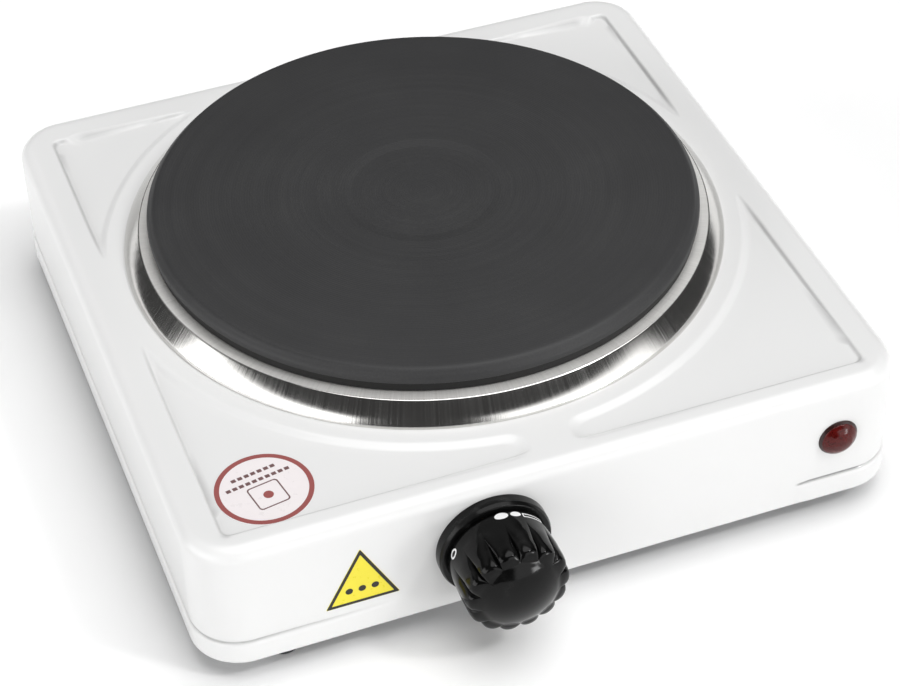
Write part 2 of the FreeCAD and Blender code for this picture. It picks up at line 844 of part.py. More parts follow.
def make_thermostat_frame():
    """Folded steel frame: front plate, side arm, guide plate and the stop peg."""
    back = dim.wall + FRAME_SHEET
    front_plate = behind("frame_front", -FRAME_LEFT, FRAME_RIGHT, -FRAME_HALF, FRAME_HALF,
                         dim.wall, back)
    arm = behind("frame_arm", -FRAME_LEFT, -FRAME_LEFT + FRAME_SHEET, -8, 8,
                 dim.wall, GUIDE_IN)
    guide = behind("frame_guide", -FRAME_LEFT, 8, -8, 8, GUIDE_IN - FRAME_SHEET, GUIDE_IN)
    peg = doc.addObject("Part::Box", "stop_peg")
    bind(peg, "Length", PEG_REACH[1] - PEG_REACH[0])
    bind(peg, "Width", DISC_IN[1] + 0.6 - back)
    bind(peg, "Height", 2 * PEG_HALF)
    angle = math.radians(STOP_ANGLE)
    across = PEG_REACH[0] * math.cos(angle) + PEG_HALF * math.sin(angle)
    up = PEG_REACH[0] * math.sin(angle) - PEG_HALF * math.cos(angle)
    place(peg, dim.knob_across + across, inside(back), knob_z + up,
          Rotation(Vector(0, 1, 0), -STOP_ANGLE))
    solid = fuse("frame_solid", [front_plate, arm, guide, peg])
    holes = group("frame_holes", [
        at_knob("frame_bush_hole", BUSH_RADIUS + 0.2, 0, 3),
        at_knob("frame_pin_hole", PIN_RADIUS + dim.fit, GUIDE_IN - 2, GUIDE_IN + 1),
        at_knob("frame_rivet_hole", RIVET_RADIUS + 0.1, GUIDE_IN - 2, GUIDE_IN + 1, -STACK_LEFT),
    ])
    node(cut("thermostat_frame", solid, holes), "thermostat_frame")


def make_spindle():
    """Turning pieces behind the knob: the spindle with its flat, and the stop disc."""
    shaft = at_knob("spindle_round", dim.spindle_radius, -SPINDLE_OUT, SPINDLE_IN)
    flat = behind("spindle_flat", -4, 4, FLAT_UP, 4, -SPINDLE_OUT, -7)
    node(cut("spindle", shaft, flat), "spindle")
    disc = at_knob("disc_round", DISC_RADIUS, DISC_IN[0], DISC_IN[1])
    finger = behind("disc_finger", 0, FINGER_REACH, -FINGER_HALF, FINGER_HALF,
                    DISC_IN[0], DISC_IN[1])
    bore = at_knob("disc_bore", dim.spindle_radius + dim.fit, DISC_IN[0], DISC_IN[1])
    node(cut("stop_disc", fuse("disc_solid", [disc, finger]), bore), "stop_disc")


FLUTES = 14
FLUTE_RADIUS = 2.7
FLUTE_START = 10.5


def make_knob():
    """Hollow moulded knob: plain base ring, fluted grip, domed face and a D-bored boss."""
    tip = -dim.knob_reach
    body = turned("knob", [
        (0, tip, 42.0, 1),
        (12.6, tip + 2.2, 4.6, 1),
        (16.5, tip + 6.6, 60.0, 1),
        (16.8, -13.0, 60.0, 1),
        (dim.knob_radius, -dim.knob_base),
        (dim.knob_radius - 2.0, -dim.knob_base),
        (dim.knob_radius - 2.4, tip + 6.2),
        (6.0, tip + 6.2),
        (6.0, -7.0),
        (3.25, -7.0),
        (3.25, tip + 6.2),
        (0, tip + 6.2),
    ], "XY_Plane")
    flute = new_sketch(body, "flute_plan", "XZ_Plane", FLUTE_START)
    circle(flute, 16.8 + FLUTE_RADIUS - 1.15, 0, FLUTE_RADIUS)
    first = pocket(body, flute, "flute", dim.knob_reach, reverse=True)
    flutes = body.newObject("PartDesign::PolarPattern", "flutes")
    flutes.Originals = [first]
    flutes.Axis = (flute, ["N_Axis"])
    flutes.Angle = 360
    flutes.Occurrences = FLUTES
    body.Tip = flutes
    doc.recompute()
    key = new_sketch(body, "key_plan", "XZ_Plane", 7.0)
    outline(key, [(-2.6, FLAT_UP + 0.6), (2.6, FLAT_UP + 0.6), (2.6, 4.2), (-2.6, 4.2)])
    pad(body, key, "key", dim.knob_reach - 6.2 - 7.0)
    place(body, dim.knob_across, front_y, knob_z)
    node(body, "knob")
    clip = behind("knob_spring_clip", -1.9, 1.9, FLAT_UP + 0.1, FLAT_UP + 0.5, -19.5, -8.0)
    node(clip, "knob_spring_clip")


def strip(name, left, right, near, far, half=BLADE_HALF, rivet=True):
    """Flat spring strip; its left end may be drilled for the stack's rivet."""
    sheet_metal = behind(name + "_blank", left, right, -half, half, near, far)
    if not rivet:
        return sheet_metal
    hole = at_knob(name + "_rivet_hole", RIVET_RADIUS + 0.1, near, far, -STACK_LEFT)
    return cut(name, sheet_metal, hole)


def make_switch():
    """Contact stack on the guide plate: insulators, strips, contacts and the push pin."""
    pin = at_knob("push_pin", PIN_RADIUS, PIN_IN[0], PIN_IN[1])
    node(pin, "push_pin")
    gaps = [(GUIDE_IN, BLADE_IN[0]), (BLADE_IN[1], FIXED_IN[0]),
            (FIXED_IN[1], BIMETAL_IN[0]), (BIMETAL_IN[1], STACK_END)]
    washers = []
    for number, (near, far) in enumerate(gaps, start=1):
        washers.append(tube(f"insulator_{number}", STACK_RADIUS, RIVET_RADIUS + 0.1, far - near,
                            dim.knob_across - STACK_LEFT, inside(near), knob_z, "y"))
    node(group("ceramic_insulators", washers), "ceramic_insulators")
    shank = at_knob("rivet_shank", RIVET_RADIUS, GUIDE_IN - FRAME_SHEET, STACK_END, -STACK_LEFT)
    front_head = at_knob("rivet_front", 3.0, GUIDE_IN - FRAME_SHEET - 1.2,
                         GUIDE_IN - FRAME_SHEET, -STACK_LEFT)
    rear_head = at_knob("rivet_rear", 3.0, STACK_END, STACK_END + 1.2, -STACK_LEFT)
    node(fuse("stack_rivet", [shank, front_head, rear_head]), "stack_rivet")

    node(strip("blade_root", -38, -HINGE_LEFT - 0.4, BLADE_IN[0], BLADE_IN[1]), "blade_root")
    moving = strip("blade_blank", -HINGE_LEFT, 5, BLADE_IN[0], BLADE_IN[1], rivet=False)
    button = at_knob("moving_button", 1.6, BLADE_IN[1], BLADE_IN[1] + 0.9, 2.6)
    node(fuse("contact_blade", [moving, button]), "contact_blade")
    fixed = strip("fixed_blank", -38, 5, FIXED_IN[0], FIXED_IN[1])
    anvil = at_knob("fixed_button", 1.6, FIXED_IN[0] - 0.9, FIXED_IN[0], 2.6)
    node(fuse("fixed_contact", [fixed, anvil]), "fixed_contact")
    node(strip("bimetal_strip", -27, 10, BIMETAL_IN[0], BIMETAL_IN[1], 4.5), "bimetal_strip")


# ---------------------------------------------------------------- lamp

LAMP_BARREL = 5.4
LAMP_BORE = 4.5


def make_lamp():
    """Pilot lamp: sleeve, domed lens, neon bulb and push-on clip."""
    sleeve = turned("lamp_sleeve", [
        (LAMP_BORE, -0.9),
        (dim.lamp_radius - 0.3, -0.9),
        (dim.lamp_radius, -0.6),
        (dim.lamp_radius, 0),
        (LAMP_BARREL, 0),
        (LAMP_BARREL, 15.0),
        (LAMP_BORE, 15.0),
    ], "XY_Plane")
    place(sleeve, dim.lamp_across, front_y, lamp_z)
    node(sleeve, "lamp_sleeve")
    lens = turned("lamp_lens", [
        (0, -3.6, 8.0, 1),
        (dim.lamp_radius - 0.7, -1.2),
        (dim.lamp_radius - 0.7, -0.9),
        (LAMP_BORE - 0.1, -0.9),
        (LAMP_BORE - 0.1, 3.0),
        (LAMP_BORE - 1.1, 3.0),
        (LAMP_BORE - 1.1, -0.4),
        (0, -1.6),
    ], "XY_Plane")
    place(lens, dim.lamp_across, front_y, lamp_z)
    node(lens, "lamp_lens")
    bulb = turned("neon_bulb", [
        (0, 3.2, 2.3, 1),
        (2.2, 5.4),
        (2.2, 12.0),
        (1.4, 13.4),
        (0, 13.4),
    ], "XY_Plane")
    place(bulb, dim.lamp_across, front_y, lamp_z)
    node(bulb, "neon_bulb")
    clip = tube("lamp_clip", 7.4, LAMP_BARREL + 0.1, 0.6,
                dim.lamp_across, front_y + dim.wall, lamp_z, "y")
    node(clip, "lamp_clip")


# ---------------------------------------------------------------- mains entry and wiring

GLAND_NECK = 6.2
ENTRY_HALF = (16.0, 9.0)
ENTRY_TALL = 15.0
ENTRY_IN = 34.0
POLE_PITCH = 10.0
POLE_UP = 6.0


def make_gland():
    """Moulded gland in the rear wall, where the mains cable enters."""
    body = turned("cable_gland", [
        (dim.gland_bore, -10.0),
        (GLAND_NECK + 1.4, -8.6),
        (GLAND_NECK + 1.8, -dim.wall),
        (GLAND_NECK, -dim.wall),
        (GLAND_NECK, 0),
        (GLAND_NECK + 3.4, 0),
        (GLAND_NECK + 3.4, dim.gland_reach - 1.0),
        (GLAND_NECK + 2.2, dim.gland_reach),
        (dim.gland_bore, dim.gland_reach),
    ], "XY_Plane")
    place(body, dim.gland_across, rear_y, dim.gland_up)
    node(body, "cable_gland")


def make_mains_terminals():
    """Three-pole terminal block on the base plate, with its clamping screws."""
    middle = rear_y - ENTRY_IN
    solid = block("entry_solid",
                  (dim.gland_across - ENTRY_HALF[0], middle - ENTRY_HALF[1], base_top),
                  (dim.gland_across + ENTRY_HALF[0], middle + ENTRY_HALF[1],
                   base_top + ENTRY_TALL))
    holes = []
    screws = []
    for index in (-1, 0, 1):
        x = dim.gland_across + index * POLE_PITCH
        holes.append(rod(f"wire_hole_{index + 2}", 2.0, 2 * ENTRY_HALF[1], x,
                         middle - ENTRY_HALF[1], base_top + POLE_UP, "y"))
        for row, y in enumerate((middle - 4, middle + 4), start=1):
            holes.append(rod(f"screw_hole_{index + 2}_{row}", 1.8,
                             ENTRY_TALL - POLE_UP, x, y, base_top + POLE_UP))
            screws.append(rod(f"entry_screw_{index + 2}_{row}", 1.7, 4.0, x, y,
                              base_top + ENTRY_TALL - 6.0))
    node(cut("mains_terminal_block", solid, group("entry_holes", holes)),
         "mains_terminal_block")
    node(group("mains_terminal_screws", screws), "mains_terminal_screws")


EARTH_X = 18.0
EARTH_BACK = 16.0


def make_earth():
    """Earth tag on the base plate under its screw and nut."""
    y = rear_y - EARTH_BACK
    tag = tube("earth_tag_eye", 4.0, 2.2, 0.8, EARTH_X, y, base_top)
    tail = block("earth_tag_tail", (EARTH_X + 3.2, y - 2.2, base_top),
                 (EARTH_X + 12, y + 2.2, base_top + 0.8))
    node(fuse("earth_tag", [tag, tail]), "earth_tag")
    head = rod("earth_head", 3.6, 2.4, EARTH_X, y, base_top + 0.8)
    shank = rod("earth_shank", 1.9, 0.8, EARTH_X, y, base_top)
    node(fuse("earth_screw", [head, shank]), "earth_screw")


def run_wire(name, points):
    """Insulated wire along straight runs joined by tangent arcs."""
    spots = [Vector(num(x), num(y), num(z)) for x, y, z in points]
    edges = []
    here = spots[0]
    for before, corner, after in zip(spots, spots[1:], spots[2:]):
        way_in = (corner - before).normalize()
        way_out = (after - corner).normalize()
        half_turn = way_in.getAngle(way_out) / 2
        reach = 0.45 * min((corner - before).Length, (after - corner).Length)
        start = corner - way_in * reach
        end = corner + way_out * reach
        bisector = (way_out - way_in).normalize()
        radius = reach / math.tan(half_turn)
        middle = corner + bisector * (radius / math.cos(half_turn) - radius)
        edges.append(Part.LineSegment(here, start).toShape())
        edges.append(Part.Arc(start, middle, end).toShape())
        here = end
    edges.append(Part.LineSegment(here, spots[-1]).toShape())
    path = Part.Wire(edges)
    section = Part.Wire(Part.Circle(spots[0], spots[1] - spots[0],
                                    dim.wire_radius.number).toShape())
    thing = doc.addObject("Part::Feature", name)
    thing.Shape = path.makePipeShell([section], True, True)
    ideal = math.pi * dim.wire_radius.number ** 2 * path.Length
    if abs(thing.Shape.Volume / ideal - 1) > 0.01:
        raise RuntimeError(f"{name} has the wrong volume")
    return thing


def make_wires():
    pole_z = base_top + POLE_UP
    pole_y = rear_y - ENTRY_IN - ENTRY_HALF[1]
    pin_y = plate_y + BLOCK_BACK
    pin_z = top_z + PIN_FOOT
    tab_x = dim.knob_across - 38
    gap = dim.wire_radius + 0.3
    node(run_wire("wire_live", [
        (dim.gland_across, pole_y + 4, pole_z),
        (dim.gland_across, pole_y - 30, pole_z),
        (34, pole_y - 74, pole_z),
        (-22, pole_y - 112, pole_z),
        (-72, pole_y - 138, 18),
        (tab_x - 12, inside(34), 26),
        (tab_x - 10, inside(FIXED_IN[0] + 0.3), knob_z),
        (tab_x - 0.2, inside(FIXED_IN[0] + 0.3), knob_z),
    ]), "wire_live")
    node(run_wire("wire_load", [
        (-PIN_PITCH, pin_y, pin_z - 0.2),
        (-PIN_PITCH, pin_y, pin_z - 8),
        (-24, pin_y - 12, 18),
        (-54, pin_y - 50, 18),
        (-84, pin_y - 104, 20),
        (tab_x - 22, inside(26), 26),
        (tab_x - 14, inside(BLADE_IN[0] + 0.2), knob_z),
        (tab_x - 0.2, inside(BLADE_IN[0] + 0.2), knob_z),
    ]), "wire_load")
    node(run_wire("wire_neutral", [
        (dim.gland_across - POLE_PITCH, pole_y + 4, pole_z),
        (dim.gland_across - POLE_PITCH, pole_y - 9, pole_z),
        (34, pole_y - 20, 14),
        (PIN_PITCH + 4, pin_y - 4, 17),
        (PIN_PITCH, pin_y, pin_z - 7),
        (PIN_PITCH, pin_y, pin_z - 0.2),
    ]), "wire_neutral")
    node(run_wire("wire_earth", [
        (EARTH_X + 12.2, rear_y - EARTH_BACK, base_top + gap),
        (EARTH_X + 26, rear_y - EARTH_BACK + 2, base_top + gap + 1),
        (dim.gland_across, rear_y - EARTH_BACK + 4, pole_z),
        (dim.gland_across + POLE_PITCH, rear_y - EARTH_BACK, pole_z),
        (dim.gland_across + POLE_PITCH, rear_y - ENTRY_IN + 5, pole_z),
    ]), "wire_earth")
    for side, name in ((-1, "lamp_wire_left"), (1, "lamp_wire_right")):
        node(run_wire(name, [
            (dim.lamp_across + side * 1.5, inside(13.7), lamp_z),
            (dim.lamp_across + side * 1.5, inside(26), lamp_z),
            (dim.lamp_across - 8 + side * 3, inside(44), 22),
            (62 + side * 4, inside(72), 19),
            (40 + side * 4, inside(118), 22),
            (26 + side * 2, pin_y - 18 + side * 3, 22),
        ]), name)


# ---------------------------------------------------------------- labels

LABEL_SHEET = 0.15
LABEL_RADIUS = 15.35
LABEL_SPOT = (-88.0, -100.4)
TRIANGLE_WIDE = 24.0
TRIANGLE_TALL = 22.6
TRIANGLE_ACROSS = -66.6
TRIANGLE_BELOW = 34.0


def make_labels():
    """Stuck-on labels: a round one on a corner panel, a triangle in front, a plain one below."""
    disc = rod("round_label", LABEL_RADIUS, LABEL_SHEET,
               LABEL_SPOT[0], plate_y + LABEL_SPOT[1], top_z - dim.panel_deep)
    node(disc, "round_label")
    triangle = new_body("triangle_label")
    sketch = new_sketch(triangle, "triangle_plan", "XZ_Plane")
    half = TRIANGLE_WIDE / 2
    outline(sketch, [(-half, 0), (half, 0), (0, TRIANGLE_TALL)])
    pad(triangle, sketch, "triangle", LABEL_SHEET)
    place(triangle, TRIANGLE_ACROSS, front_y, top_z - TRIANGLE_BELOW)
    node(triangle, "triangle_label")
    plain = block("base_label", (-30, rear_y - 40, dim.base_up - LABEL_SHEET),
                  (30, rear_y - 12, dim.base_up))
    node(plain, "base_label")


# ---------------------------------------------------------------- build and write

def check(things):
    """Stop at the first failed object or unsound shape."""
    for thing in doc.Objects:
        if "Invalid" in thing.State or "Error" in thing.State:
            raise RuntimeError(f"{thing.Name} is {thing.State}")
    for thing in things:
        if thing.Shape.isNull() or not thing.Shape.isValid() or not thing.Shape.Solids:
            raise RuntimeError(f"{thing.Label} has no sound shape")


make_top_housing()
make_base_plate()
make_feet()
make_foot_screws()
make_corner_brackets()
make_hotplate()
make_trim_ring()
make_heating()
make_plate_cover()
make_plate_terminals()
make_clamp()
make_knob_bezel()
make_bush()
make_thermostat_frame()
make_spindle()
make_knob()
make_switch()
make_lamp()
make_gland()
make_mains_terminals()
make_earth()
make_wires()
make_labels()

doc.recompute()
check(nodes)
os.makedirs("parts", exist_ok=True)
for piece in nodes:
    piece.Shape.exportStep(f"parts/{piece.Label}.step")
    box = piece.Shape.BoundBox
    print(f"{piece.Label:24s} {len(piece.Shape.Solids):2d} solids {piece.Shape.Volume:10.1f} mm3",
          f"x {box.XMin:.2f} {box.XMax:.2f}  y {box.YMin:.2f} {box.YMax:.2f}",
          f"z {box.ZMin:.2f} {box.ZMax:.2f}")
print(len(nodes), "nodes")
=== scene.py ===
"""Looks of the single-plate electric hot plate: meshes, materials, light and camera."""

import json
import math

import bmesh
import bpy
import numpy as np
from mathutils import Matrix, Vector


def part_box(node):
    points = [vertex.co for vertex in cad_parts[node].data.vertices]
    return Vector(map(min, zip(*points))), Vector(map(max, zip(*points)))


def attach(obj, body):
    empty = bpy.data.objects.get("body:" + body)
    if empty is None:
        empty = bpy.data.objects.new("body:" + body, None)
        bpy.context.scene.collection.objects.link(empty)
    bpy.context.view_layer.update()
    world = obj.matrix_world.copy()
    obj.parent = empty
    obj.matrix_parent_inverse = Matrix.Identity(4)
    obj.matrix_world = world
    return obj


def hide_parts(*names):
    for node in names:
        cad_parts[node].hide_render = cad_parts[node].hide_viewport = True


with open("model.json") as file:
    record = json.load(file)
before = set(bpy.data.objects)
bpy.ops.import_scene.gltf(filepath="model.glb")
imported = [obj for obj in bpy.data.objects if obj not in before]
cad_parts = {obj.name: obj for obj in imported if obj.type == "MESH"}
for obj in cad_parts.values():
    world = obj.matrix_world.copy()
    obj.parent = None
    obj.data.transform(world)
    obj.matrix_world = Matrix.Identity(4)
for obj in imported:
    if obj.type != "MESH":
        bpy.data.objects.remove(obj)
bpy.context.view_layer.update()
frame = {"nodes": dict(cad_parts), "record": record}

MM = 0.001
nodes = frame["nodes"]


# ---- places read from the frame

def middle(node):
    low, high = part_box(node)
    return (low + high) / 2


housing_low, housing_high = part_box("top_housing")
plate_low, plate_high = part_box("hotplate")
ring_low, ring_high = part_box("trim_ring")
bezel_low, bezel_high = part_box("knob_bezel")
knob_low, knob_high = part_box("knob")
sleeve_low, sleeve_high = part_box("lamp_sleeve")
lens_low, lens_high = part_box("lamp_lens")
label_low, label_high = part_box("round_label")
triangle_low, triangle_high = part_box("triangle_label")

TOP = housing_high.z
RIM = housing_low.z
FRONT = bezel_high.y                       # outer face of the front wall
PLATE_X = 0.0
PLATE_Y = middle("hotplate").y
PLATE_TOP = plate_high.z
PLATE_RADIUS = (plate_high.x - plate_low.x) / 2
RING_RADIUS = (ring_high.x - ring_low.x) / 2
LEDGE_EDGE = 95.4 * MM                     # where the ring's inner ledge meets its flank
KNOB_X = middle("knob_bezel").x
KNOB_Z = middle("knob_bezel").z
LAMP_X = middle("lamp_sleeve").x
LAMP_Z = middle("lamp_sleeve").z

# ---- mesh helpers


def placed(name, data):
    """New object for a mesh or camera, linked into the scene."""
    thing = bpy.data.objects.new(name, data)
    bpy.context.scene.collection.objects.link(thing)
    return thing


def make_object(name, verts, faces, material, smooth=True):
    mesh = bpy.data.meshes.new(name)
    mesh.from_pydata([tuple(v) for v in verts], [], faces)
    mesh.validate()
    mesh.update()
    if smooth:
        mesh.polygons.foreach_set("use_smooth", [True] * len(mesh.polygons))
    mesh.materials.append(material)
    return placed(name, mesh)


def grid_faces(rows, columns, first=0, wrap=False):
    """Quads between consecutive closed rows of points; wrap joins the last row to the first."""
    faces = []
    for row in range(rows if wrap else rows - 1):
        here = first + row * columns
        there = first + (row + 1) % rows * columns
        for column in range(columns):
            after = (column + 1) % columns
            faces.append((here + column, here + after, there + after, there + column))
    return faces


def cap_faces(rows, columns, start, end):
    """Triangles from the first and last of the rows to a middle point each."""
    last = (rows - 1) * columns
    faces = []
    for step in range(columns):
        after = (step + 1) % columns
        faces.append((after, step, start))
        faces.append((last + step, last + after, end))
    return faces


def rounded_path(corners, steps=8):
    """Polyline whose corners (x, y, radius) are rounded by arcs; radius 0 stays sharp."""
    points = []
    count = len(corners)
    for index, (x, y, radius) in enumerate(corners):
        here = Vector((x, y))
        if radius == 0 or index in (0, count - 1):
            points.append(here)
            continue
        before = Vector(corners[index - 1][:2])
        after = Vector(corners[index + 1][:2])
        way_in = (before - here).normalized()
        way_out = (after - here).normalized()
        half = way_in.angle(way_out) / 2
        reach = min(radius / math.tan(half), (before - here).length * 0.49,
                    (after - here).length * 0.49)
        bend = reach * math.tan(half)
        centre = here + (way_in + way_out).normalized() * (bend / math.sin(half))
        start = here + way_in * reach - centre
        sweep = start.angle_signed(here + way_out * reach - centre)
        for step in range(steps + 1):
            angle = -sweep * step / steps
            turned = Vector((start.x * math.cos(angle) - start.y * math.sin(angle),
                             start.x * math.sin(angle) + start.y * math.cos(angle)))
            points.append(centre + turned)
    return points


def turned(name, profile, centre, material, axis="z", segments=256):
    """Turned piece.  The profile is (radius, height) points in metres, heights along the axis
    from the centre.  For axis y the height runs out of the front wall, towards -Y.  A profile
    that starts and ends on the axis closes with single points, and any other closes on itself."""
    points = [Vector(p[:2]) for p in profile]
    capped = points[0].x < 1e-9 and points[-1].x < 1e-9
    rows = points[1:-1] if capped else points
    verts = []
    for point in rows:
        for step in range(segments):
            angle = 2 * math.pi * step / segments
            verts.append((point.x * math.cos(angle), point.x * math.sin(angle), point.y))
    faces = grid_faces(len(rows), segments, wrap=not capped)
    if capped:
        verts += [(0, 0, points[0].y), (0, 0, points[-1].y)]
        faces += cap_faces(len(rows), segments, len(verts) - 2, len(verts) - 1)
    if axis == "y":
        verts = [(x, -z, y) for x, y, z in verts]
    thing = make_object(name, verts, faces, material)
    thing.location = centre
    tidy_normals(thing)
    return thing


def tidy_normals(thing, angle=35):
    work = bmesh.new()
    work.from_mesh(thing.data)
    bmesh.ops.recalc_face_normals(work, faces=work.faces)
    work.to_mesh(thing.data)
    work.free()
    thing.data.set_sharp_from_angle(angle=math.radians(angle))


def prism(name, loops, low, high, material):
    """Flat plate from closed loops of (x, y) points between two heights along Z."""
    work = bmesh.new()
    for loop in loops:
        ring = [work.verts.new((x, y, low)) for x, y in loop]
        face = work.faces.new(ring)
        result = bmesh.ops.extrude_face_region(work, geom=[face])
        raised = [item for item in result["geom"] if isinstance(item, bmesh.types.BMVert)]
        bmesh.ops.translate(work, verts=raised, vec=(0, 0, high - low))
    bmesh.ops.recalc_face_normals(work, faces=work.faces)
    mesh = bpy.data.meshes.new(name)
    work.to_mesh(mesh)
    work.free()
    mesh.materials.append(material)
    return placed(name, mesh)


def add_piece(thing, body, replaces=()):
    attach(thing, body)
    if replaces:
        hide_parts(*replaces)
    return thing


# ---- material helpers

class Nodes:
    """Small builder for the node tree of a material or world."""

    def __init__(self, owner):
        owner.use_nodes = True
        self.tree = owner.node_tree
        self.tree.nodes.clear()

    def add(self, kind, **settings):
        node = self.tree.nodes.new(kind)
        for key, value in settings.items():
            setattr(node, key, value)
        return node

    def link(self, start, end):
        self.tree.links.new(start, end)

    def feed(self, node, given):
        """Link or set the node's first inputs in turn."""
        for socket, value in zip(node.inputs, given):
            if hasattr(value, "is_output"):
                self.link(value, socket)
            else:
                socket.default_value = value

    def math(self, operation, a, b=0.0):
        node = self.add("ShaderNodeMath", operation=operation)
        self.feed(node, (a, b))
        return node.outputs[0]

    def spread(self, source, low, high, out_low=0.0, out_high=1.0, kind="LINEAR"):
        node = self.add("ShaderNodeMapRange", interpolation_type=kind)
        self.feed(node, (source, low, high, out_low, out_high))
        return node.outputs["Result"]


class Shader(Nodes):
    """Builder for a procedural material."""

    def __init__(self, name):
        self.material = bpy.data.materials.new(name)
        super().__init__(self.material)
        output = self.add("ShaderNodeOutputMaterial")
        self.surface = self.add("ShaderNodeBsdfPrincipled")
        self.link(self.surface.outputs["BSDF"], output.inputs["Surface"])
        self.place = self.add("ShaderNodeTexCoord").outputs["Object"]

    def set(self, **values):
        for key, value in values.items():
            self.surface.inputs[key.replace("_", " ")].default_value = value

    def noise(self, scale, detail=3.0, rough=0.55, vector=None, stretch=None):
        node = self.add("ShaderNodeTexNoise")
        node.inputs["Scale"].default_value = scale
        node.inputs["Detail"].default_value = detail
        node.inputs["Roughness"].default_value = rough
        source = vector or self.place
        if stretch:
            mapping = self.add("ShaderNodeMapping")
            mapping.inputs["Scale"].default_value = stretch
            self.link(source, mapping.inputs["Vector"])
            source = mapping.outputs["Vector"]
        self.link(source, node.inputs["Vector"])
        return node.outputs["Fac"]

    def ramp(self, source, stops):
        node = self.add("ShaderNodeValToRGB")
        points = node.color_ramp.elements
        while len(points) < len(stops):
            points.new(0.5)
        for point, (spot, colour) in zip(points, stops):
            point.position = spot
            point.color = (*colour, 1.0)
        self.link(source, node.inputs["Fac"])
        return node.outputs["Color"]

    def bump(self, height, distance, strength=1.0, after=None):
        node = self.add("ShaderNodeBump")
        node.inputs["Strength"].default_value = strength
        node.inputs["Distance"].default_value = distance
        self.link(height, node.inputs["Height"])
        if after is not None:
            self.link(after, node.inputs["Normal"])
        return node.outputs["Normal"]

    def polar(self):
        """Radius, angle and height about the object's Z axis."""
        split = self.add("ShaderNodeSeparateXYZ")
        self.link(self.place, split.inputs[0])
        x, y, z = (split.outputs[index] for index in range(3))
        radius = self.math("SQRT", self.math("ADD", self.math("MULTIPLY", x, x),
                                             self.math("MULTIPLY", y, y)))
        angle = self.math("ARCTAN2", y, x)
        return radius, angle, z

    def round_vector(self, radial, around, upward):
        """Texture vector that follows a turned piece: scaled radius, a circle and height."""
        radius, angle, height = self.polar()
        join = self.add("ShaderNodeCombineXYZ")
        self.link(self.math("MULTIPLY", self.math("COSINE", angle), around), join.inputs[0])
        self.link(self.math("MULTIPLY", self.math("SINE", angle), around), join.inputs[1])
        lift = self.math("ADD", self.math("MULTIPLY", radius, radial),
                         self.math("MULTIPLY", height, upward))
        self.link(lift, join.inputs[2])
        return join.outputs[0]

    def done(self, colour=None, rough=None, normal=None):
        if colour is not None:
            self.link(colour, self.surface.inputs["Base Color"])
        if rough is not None:
            self.link(rough, self.surface.inputs["Roughness"])
        if normal is not None:
            self.link(normal, self.surface.inputs["Normal"])
        return self.material


def enamel():
    """White vitreous enamel: slightly wavy gloss over pressed sheet, with painted shade darkening
    the crease above the rim's band and the panels' outer edges.
    """
    s = Shader("white_enamel")
    s.set(IOR=1.5, Coat_Weight=0.3, Coat_Roughness=0.08)
    cloud = s.noise(9.0, 2.0)
    clean = s.ramp(cloud, [(0.30, (0.765, 0.765, 0.762)), (0.70, (0.782, 0.782, 0.779))])
    # Painted shade: a per-vertex weight darkens the crease above the rim's band and the panels'
    # outer edges toward dark grey, broken up a little by noise
    painted_shade = s.add("ShaderNodeAttribute", attribute_name="painted_shade").outputs["Fac"]
    shade_amount = s.math("MULTIPLY", painted_shade, s.spread(s.noise(260.0, 3.0), 0.3, 0.7, 0.85, 1.0))
    mix = s.add("ShaderNodeMix", data_type="RGBA")
    s.link(shade_amount, mix.inputs[0])
    s.link(clean, mix.inputs[6])
    mix.inputs[7].default_value = (0.12, 0.12, 0.12, 1.0)
    colour = mix.outputs[2]
    rough = s.spread(s.noise(40.0, 2.0), 0.3, 0.7, 0.30, 0.34)
    waves = s.bump(s.noise(60.0, 1.0), 0.00005, 0.4)
    peel = s.bump(s.noise(900.0, 2.0), 0.000008, 0.4, waves)
    return s.done(colour, rough, peel)


def cast_iron():
    """Dark heat-proof coat over a turned face: fine rings, faint dust and rubbed patches;
    the side below the rim's lip is painted near black as shade under the rim.
    """
    s = Shader("cast_iron")
    s.set(IOR=1.45)
    radius, _, height = s.polar()
    wander = s.math("MULTIPLY", s.noise(30.0, 2.0), 0.0006)
    turns = s.math("ADD", radius, wander)
    fine = s.math("SINE", s.math("MULTIPLY", turns, 2 * math.pi / 0.00085))
    coarse = s.noise(1.0, 3.0, 0.6, s.round_vector(900.0, 0.6, 40.0))
    cloud = s.noise(26.0, 5.0)
    grain = s.noise(1400.0, 3.0, 0.7)
    mix = s.math("ADD", s.math("MULTIPLY", coarse, 0.25),
                 s.math("ADD", s.math("MULTIPLY", cloud, 0.35), s.math("MULTIPLY", grain, 0.4)))
    face = s.ramp(mix, [(0.32, (0.020, 0.020, 0.021)), (0.52, (0.027, 0.027, 0.028)),
                        (0.72, (0.040, 0.040, 0.040))])
    # Painted shade: the side below the rim's lip is mixed to near black, standing in for the shadow
    # under the plate's rim
    side = s.add("ShaderNodeMix", data_type="RGBA")
    s.link(s.spread(height, -4.6 * MM, -5.4 * MM), side.inputs[0])
    s.link(face, side.inputs[6])
    side.inputs[7].default_value = (0.004, 0.004, 0.004, 1.0)
    colour = side.outputs[2]
    rough = s.spread(mix, 0.3, 0.7, 0.46, 0.62)
    rings = s.bump(fine, 0.000012, 0.55)
    lathe = s.bump(coarse, 0.00003, 0.5, rings)
    pits = s.bump(grain, 0.00004, 0.6, lathe)
    return s.done(colour, rough, pits)


